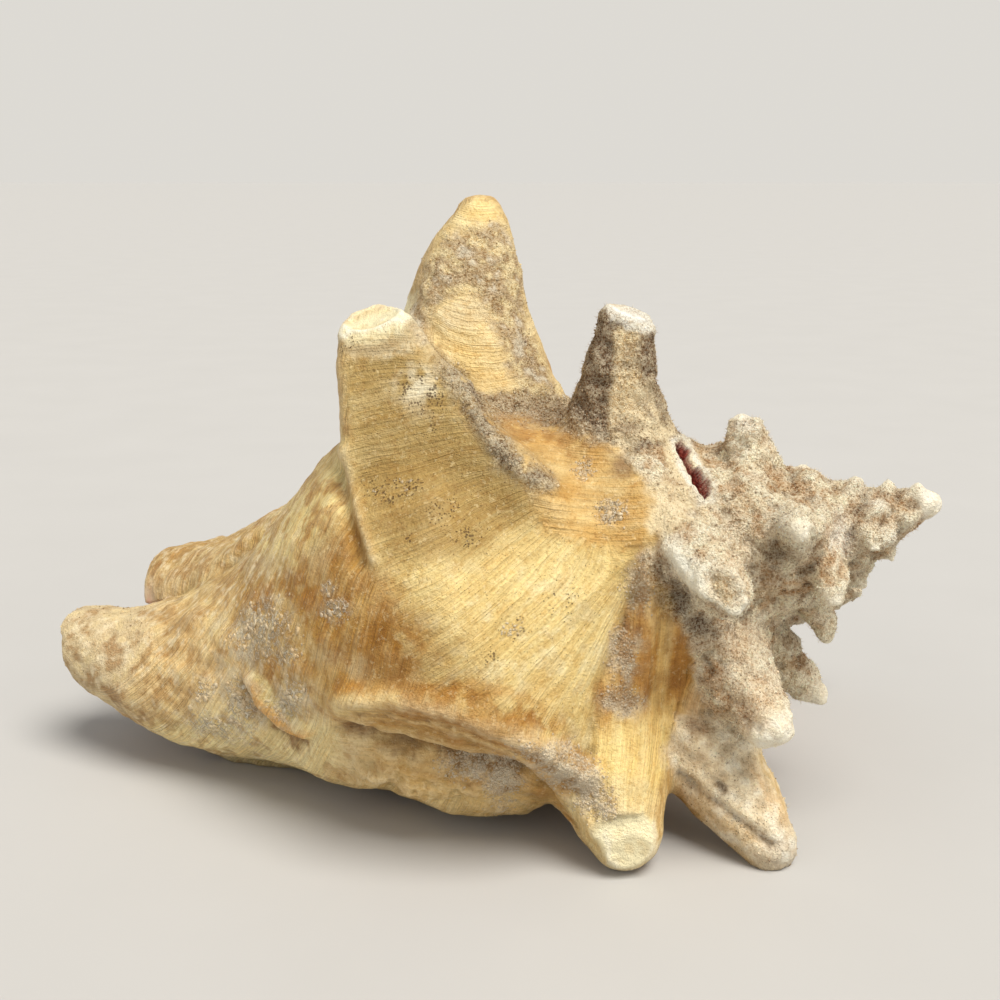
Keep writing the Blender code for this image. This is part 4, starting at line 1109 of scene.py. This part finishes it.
def shell_material():
    t = Tree("weathered_shell")
    mm = t.object_mm()
    tint = t.attr("tint", "Color")
    crust, chalk, mouth, hole = t.attr("crust"), t.attr("chalk"), t.attr("mouth"), t.attr("hole")
    use_b, use_c, pits, fleck, shine = t.attr("use_b"), t.attr("use_c"), t.attr("pits"), t.attr("fleck"), t.attr("shine")
    a, b, c, d = (t.attr(n, "Vector") for n in ("flow_a", "flow_b", "flow_c", "flow_d"))
    use_d = t.attr("use_d")
    wob = t.vec("MULTIPLY", t.noise(mm, .10, 2.0, .5, out="Color"), (2.4, 0, 0))

    def lines(across, along, detail=1.0):
        k = (across, along, .02)
        la = t.noise(t.vec("ADD", t.vec("MULTIPLY", a, (k[0] * 1.5, k[1] * 1.5, .02)), wob), 1.0, detail, .55)
        ld = t.noise(t.vec("ADD", t.vec("MULTIPLY", d, (k[0] * 1.2, k[1] * 1.2, .02)), wob), 1.0, detail, .55)
        la = t.blend(use_d, la, ld)
        lb = t.noise(t.vec("ADD", t.vec("MULTIPLY", b, k), wob), 1.0, detail, .55)
        lc = t.noise(t.vec("ADD", t.vec("MULTIPLY", c, k), wob), 1.0, detail, .55)
        return t.blend(use_c, t.blend(use_b, la, lb), lc)

    broad = lines(.34, .02)
    fine = lines(1.15, .045)
    silk = lines(3.2, .12, 0.0)
    plain = t.math("SUBTRACT", 1.0, t.math("MAXIMUM", t.math("MAXIMUM", crust, mouth), chalk))
    k = t.mul(t.remap(fine, .34, .66, .88, 1.07), t.remap(silk, .3, .7, .88, 1.08))
    k = t.blend(t.mul(t.math("MAXIMUM", use_b, use_c), .35), k, 1.0)
    k = t.blend(plain, 1.0, k)
    col = t.mix(1.0, tint, t.grey(k), "MULTIPLY")
    col = t.mix(t.mul(t.remap(broad, .44, .60, .42, 0.0), plain), col, t.mix(1.0, col, (.82, .70, .50, 1), "MULTIPLY"))
    col = t.mix(t.mul(t.remap(broad, .56, .68, 0.0, .20), plain), col, t.mix(.55, col, rgba((248, 228, 176))))
    mott = t.noise(mm, .30, 4.0, .66)
    col = t.mix(t.mul(t.mul(t.remap(mott, .52, .62), .42), plain), col, t.mix(1.0, col, (.80, .67, .47, 1), "MULTIPLY"))
    mott2 = t.noise(mm, .75, 3.0, .68)
    col = t.mix(t.mul(t.remap(mott2, .57, .66), .45), col, t.mix(.5, col, rgba((252, 234, 186))))
    mott3 = t.noise(mm, 1.3, 2.0, .7)
    col = t.mix(t.mul(t.mul(t.remap(mott3, .52, .62), .42), plain), col, t.mix(1.0, col, (.70, .58, .42, 1), "MULTIPLY"))
    grain = t.noise(mm, 1.5, 3.0, .75)
    grain2 = t.noise(mm, .62, 3.0, .7)
    sand = t.mix(t.remap(grain, .38, .52), t.mix(1.0, col, (.60, .46, .32, 1), "MULTIPLY"), t.mix(.42, col, rgba((255, 246, 218))))
    col = t.mix(t.mul(crust, .70), col, sand)
    col = t.mix(t.mul(t.mul(crust, t.remap(grain2, .53, .60)), .5), col, t.mix(1.0, col, (.66, .52, .38, 1), "MULTIPLY"))
    speck = t.remap(t.noise(mm, 2.6, 2.0, .6), .62, .72)
    col = t.mix(t.mul(t.mul(chalk, speck), .5), col, rgba((130, 104, 76)))
    pit_d = t.cells(mm, 1.45)
    pit_r = t.remap(pits, 0.0, 1.0, .06, .44)
    pit = t.remap(t.math("SUBTRACT", pit_r, pit_d), -.02, .06)
    pit = t.mul(pit, t.remap(t.noise(mm, .55, 3.0), .46, .56))
    pit = t.mul(pit, t.math("SUBTRACT", 1.0, mouth))
    col = t.mix(t.mul(pit, .75), col, rgba((98, 72, 44)))
    chip_d = t.cells(mm, .75, "DISTANCE_TO_EDGE")
    chip = t.mul(fleck, t.remap(t.noise(mm, .8, 2.0), .45, .55))
    col = t.mix(t.mul(chip, t.remap(chip_d, .03, .10, .0, .55)), col, rgba((172, 160, 140)))
    col = t.mix(t.mul(chip, t.remap(chip_d, .02, .09, .9, .0)), col, rgba((244, 238, 220)))
    col = t.mix(hole, col, t.mix(t.remap(grain2, .4, .6), rgba((118, 28, 22)), rgba((186, 84, 68))))
    t.put(t.bsdf.inputs["Base Color"], col)
    t.bsdf.inputs["Specular IOR Level"].default_value = .32
    rough = t.blend(crust, t.remap(grain2, .35, .65, .44, .66), .93)
    rough = t.blend(chalk, rough, .9)
    rough = t.blend(shine, rough, t.remap(grain2, .35, .65, .26, .40))
    rough = t.blend(chip, rough, .22)
    rough = t.blend(hole, rough, .5)
    t.put(t.bsdf.inputs["Roughness"], rough)
    h = t.mul(t.add(t.add(t.mul(broad, .40), t.mul(fine, .40)), t.mul(silk, .20)), plain)
    h = t.add(h, t.mul(t.noise(mm, 1.1, 3.0, .72), t.blend(mouth, t.blend(crust, t.blend(chalk, .62, .95), 1.6), .03)))
    h = t.add(h, t.mul(t.noise(mm, 4.5, 1.0, .6), t.blend(mouth, t.blend(crust, .09, .30), .0)))
    h = t.math("SUBTRACT", h, t.mul(pit, .55))
    h = t.add(h, t.mul(chip, t.remap(chip_d, .0, .14, .45, .1)))
    t.bump(h)
    return t.mat


skin.data.materials.clear()
skin.data.materials.append(shell_material())
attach(skin, "root")
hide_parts("shell")


# ============================================================ grains, chips and bristles
def scatter(weight, number, seed):
    """Points spread over the skin by area and weight: place, direction out, face point weights."""
    rng = np.random.default_rng(seed)
    tri = np.empty(len(skin.data.polygons) * 3, int)
    skin.data.polygons.foreach_get("vertices", tri)
    tri = tri.reshape(-1, 3)
    p = to_frame(co)
    a, b, c = p[tri[:, 0]], p[tri[:, 1]], p[tri[:, 2]]
    size = np.linalg.norm(np.cross(b - a, c - a), axis=1) / 2
    chance = size * weight[tri].mean(1)
    pick = rng.choice(len(tri), number, p=chance / chance.sum())
    u, v = rng.random(number), rng.random(number)
    flip = u + v > 1
    u[flip], v[flip] = 1 - u[flip], 1 - v[flip]
    at = a[pick] + (b - a)[pick] * u[:, None] + (c - a)[pick] * v[:, None]
    n = no[tri[pick]].mean(1)
    n /= np.linalg.norm(n, axis=1)[:, None]
    shade = tint[tri[pick]].mean(1)
    return at, n, shade, tri[pick][:, 0], rng


def side_axes(n, rng):
    r = rng.normal(size=n.shape)
    x = np.cross(n, r)
    x /= np.linalg.norm(x, axis=1)[:, None]
    return x, np.cross(n, x)


def joined(name, verts, faces, shade, mat):
    me = bpy.data.meshes.new(name)
    verts = verts.copy()
    verts[:, 2] = np.maximum(verts[:, 2], 0.00002)
    me.vertices.add(len(verts))
    me.vertices.foreach_set("co", verts.ravel())
    me.loops.add(faces.size)
    me.loops.foreach_set("vertex_index", faces.ravel())
    me.polygons.add(len(faces))
    me.polygons.foreach_set("loop_start", np.arange(len(faces)) * 3)
    me.polygons.foreach_set("loop_total", np.full(len(faces), 3))
    me.update(calc_edges=True)
    me.validate()
    store(me, "tint", "FLOAT_COLOR", shade)
    me.materials.append(mat)
    ob = bpy.data.objects.new(name, me)
    bpy.context.scene.collection.objects.link(ob)
    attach(ob, "root")
    return ob


def grit_material(name, rough, bump):
    t = Tree(name)
    mm = t.object_mm()
    g = t.noise(mm, 3.5, 1.0, .6)
    col = t.mix(t.remap(g, .35, .65, .25, 0.0), t.attr("tint", "Color"), rgba((118, 82, 44)))
    col = t.mix(t.remap(t.noise(mm, 1.2, 1.0), .55, .7, 0.0, .18), col, rgba((240, 228, 196)))
    t.put(t.bsdf.inputs["Base Color"], col)
    t.put(t.bsdf.inputs["Roughness"], t.remap(g, .3, .7, rough - .12, rough + .08))
    t.bump(t.noise(mm, 5.0, 1.0), bump)
    return t.mat


OCTA = np.array(((1, 0, 0), (-1, 0, 0), (0, 1, 0), (0, -1, 0), (0, 0, 1), (0, 0, -1)), float)
OCTA_F = np.array(((0, 2, 4), (2, 1, 4), (1, 3, 4), (3, 0, 4), (2, 0, 5), (1, 2, 5), (3, 1, 5), (0, 3, 5)))


def grains(name, weight, number, seed, r_low, r_high, mat):
    at, n, shade, idx, rng = scatter(weight, number, seed)
    x, y = side_axes(n, rng)
    r = (r_low + (r_high - r_low) * rng.random(number) ** 2.2) * 0.001
    v = OCTA[None] * rng.uniform(.65, 1.35, (number, 6, 1))
    v = (v[..., :1] * x[:, None] + v[..., 1:2] * y[:, None] + v[..., 2:] * n[:, None]) * r[:, None, None]
    v += (at + n * r[:, None] * .25)[:, None]
    f = OCTA_F[None] + (np.arange(number) * 6)[:, None, None]
    light = rng.uniform(.75, 1.25, number)[:, None]
    pale = np.clip(.22 + .9 * shade.mean(1)[:, None], .22, .6)
    tone = np.where(rng.random(number)[:, None] < .22, shade * (1 - pale) + lin((240, 226, 194)) * pale, shade) * light
    tone = np.where(rng.random(number)[:, None] < .16, (shade * .4 + lin((122, 86, 46)) * .6) * light, tone)
    return joined(name, v.reshape(-1, 3), f.reshape(-1, 3), np.repeat(tone, 6, 0), mat)


def bristles(name, weight, number, seed, l_low, l_high, mat, tone_a, tone_b):
    at, n, shade, idx, rng = scatter(weight, number, seed)
    x, y = side_axes(n, rng)
    length = (l_low + (l_high - l_low) * rng.random(number) ** 2.0) * 0.001
    lean = n + x * rng.normal(0, .6, number)[:, None]
    lean /= np.linalg.norm(lean, axis=1)[:, None]
    r = rng.uniform(.032, .058, number)[:, None] * 0.001
    foot = at - n * 0.0002
    mid = foot + lean * (length * .55)[:, None]
    tip = mid + (lean + y * rng.normal(0, .5, number)[:, None]) * (length * .45)[:, None]
    rings = []
    for c, k in ((foot, 1.0), (mid, .75)):
        for q in range(3):
            w_ = 2 * math.pi * q / 3
            rings.append(c + (x * math.cos(w_) + y * math.sin(w_)) * r * k)
    v = np.stack(rings + [tip], 1)
    f = np.array(((0, 2, 1), (0, 1, 4), (0, 4, 3), (1, 2, 5), (1, 5, 4), (2, 0, 3), (2, 3, 5), (3, 4, 6), (4, 5, 6), (5, 3, 6)))
    f = f[None] + (np.arange(number) * 7)[:, None, None]
    k = rng.random(number)[:, None]
    own = np.clip(.12 + .9 * shade.mean(1)[:, None], .14, .45)
    tone = (lin(tone_a) * k + lin(tone_b) * (1 - k)) * own + shade * (.75 + .7 * (1 - k)) * (1 - own)
    return joined(name, v.reshape(-1, 3), f.reshape(-1, 3), np.repeat(tone, 7, 0), mat)


def chips(name, weight, number, seed, r_low, r_high, mat, tone_a, tone_b):
    at, n, shade, idx, rng = scatter(weight, number, seed)
    n = n + rng.normal(0, .2, n.shape)
    n /= np.linalg.norm(n, axis=1)[:, None]
    x, y = side_axes(n, rng)
    r = (r_low + (r_high - r_low) * rng.random(number) ** 1.8) * 0.001
    top, low = [], []
    for q in range(6):
        w_ = 2 * math.pi * q / 6
        rr = (r * rng.uniform(.55, 1.2, number))[:, None]
        p = at + (x * math.cos(w_) + y * math.sin(w_) * .8) * rr
        top.append(p + n * (0.00004 + rng.uniform(0, .0001, number)[:, None]))
        low.append(p - n * 0.0002)
    v = np.stack(top + low, 1)
    f = [(0, 1, 2), (0, 2, 3), (0, 3, 4), (0, 4, 5), (8, 7, 6), (9, 8, 6), (10, 9, 6), (11, 10, 6)]
    for q in range(6):
        p = (q + 1) % 6
        f += [(q, q + 6, p + 6), (q, p + 6, p)]
    f = np.array(f)[None] + (np.arange(number) * 12)[:, None, None]
    k = rng.random(number)[:, None]
    tone = (lin(tone_a) * k + lin(tone_b) * (1 - k)) * .6 + shade * (.6 + .8 * (1 - k)) * .4
    return joined(name, v.reshape(-1, 3), f.reshape(-1, 3), np.repeat(tone, 12, 0), mat)


less = 1
bare = tip_mask([(29.6, -8.0, 131.2)], 5.5, 7.5)
sandy = np.clip(crust_show - .35 * inside - cuts - bare, 0, 1) * (1 - hole_all) * (1 - .9 * rim) * (1 - .5 * w * np.clip(a_crust + c_patch, 0, 1)) * (1 - f_ridge) * (1 - .8 * knob_tip)
grit = grit_material("crust_grit", .9, .5)
grains("crust_grains", sandy ** 1.3 * (.3 + .7 * w), 24500 // less, 11, .09, .27, grit)
grains("crust_lumps", sandy ** 2 * (.4 + .6 * w), 2600 // less, 12, .2, .42, grit)
# no bristles on the painted lit patch at 841 536
hair_w = np.clip(spire_front + .9 * crown + .5 * spire_back + .5 * edge_b + w * dots(uv, [(672, 604, 34, 30, 35)]), 0, 1) * (1 - knob_tip) * (1 - chalk * .8) * (1 - f_ridge) * (1 - w * dots(uv, [(841, 536, 14, 23, -10)])) * outer * (1 - hole_all) * (1 - smooth(hole, 0, .05))
hair_mat = grit_material("crust_bristle", .8, .2)
bristles("crust_bristles", hair_w * (.3 + .7 * w), 19000 // less, 13, .35, 1.5, hair_mat, (134, 88, 40), (240, 214, 164))
chip_w = w * np.clip(flaky + .6 * c_patch + .12 * fleck + .22 * edge_b + .3 * a_base + .5 * dots(uv, [(584, 470, 10, 9, 0), (612, 512, 15, 11, 0), (513, 627, 12, 8, 0), (411, 484, 16, 8, -20, .3), (380, 491, 13, 9, 0, .3)]), 0, 1)
chips("crust_chips", chip_w ** 1.5, 7000 // less, 14, .10, .52, grit_material("flaky_chip", .5, .3), (230, 218, 192), (150, 122, 88))
chips("glassy_flakes", w * fleck ** 1.5, 320 // (1), 15, .30, 1.15, grit_material("glassy_flake", .34, .2), (240, 226, 196), (190, 166, 130))


# ============================================================ stage, light and camera
def floor_piece():
    bm = bmesh.new()
    bmesh.ops.create_grid(bm, x_segments=2, y_segments=2, size=30.0)
    me = bpy.data.meshes.new("floor")
    bm.to_mesh(me)
    bm.free()
    ob = bpy.data.objects.new("floor", me)
    bpy.context.scene.collection.objects.link(ob)
    t = Tree("pale_floor")
    n = t.noise(t.object_mm(), .02, 3.0)
    t.put(t.bsdf.inputs["Base Color"], t.mix(n, (.50, .49, .475, 1), (.53, .52, .505, 1)))
    t.bsdf.inputs["Roughness"].default_value = .9
    me.materials.append(t.mat)


floor_piece()
world = bpy.context.scene.world or bpy.data.worlds.new("studio")
bpy.context.scene.world = world
world.use_nodes = True
wt = world.node_tree
light_bg = wt.nodes["Background"]
light_bg.inputs["Color"].default_value = (.98, .98, .97, 1)
light_bg.inputs["Strength"].default_value = .40
show_bg = wt.nodes.new("ShaderNodeBackground")
show_bg.inputs["Color"].default_value = (.726, .703, .658, 1)
pick = wt.nodes.new("ShaderNodeMixShader")
path = wt.nodes.new("ShaderNodeLightPath")
wt.links.new(path.outputs["Is Camera Ray"], pick.inputs[0])
wt.links.new(light_bg.outputs[0], pick.inputs[1])
wt.links.new(show_bg.outputs[0], pick.inputs[2])
wt.links.new(pick.outputs[0], wt.nodes["World Output"].inputs["Surface"])


def sun(name, toward, power, spread, colour):
    d = bpy.data.lights.new(name, "SUN")
    d.energy = power
    d.angle = math.radians(spread)
    d.color = colour
    ob = bpy.data.objects.new(name, d)
    ob.rotation_euler = Vector(toward).to_track_quat("Z", "Y").to_euler()
    bpy.context.scene.collection.objects.link(ob)


sun("key", (0.30, -0.34, 0.90), 3.35, 34, (1.0, .965, .90))
sun("fill", (-0.8, -0.55, 0.35), 0.45, 60, (1.0, .98, .95))
sun("side", (0.75, -0.62, 0.22), 0.60, 50, (1.0, .98, .94))

cam = bpy.data.cameras.new("camera")
cam.sensor_width = 36.0
cam.lens = FOCAL * 36.0 / 1000.0
cam.clip_start = .01
eye = bpy.data.objects.new("camera", cam)
eye.location = to_frame(EYE)
eye.rotation_euler = (math.radians(90) - PITCH, 0, 0)
bpy.context.scene.collection.objects.link(eye)
bpy.context.scene.camera = eye
bpy.context.scene.view_settings.view_transform = "Standard"

bpy.context.view_layer.update()
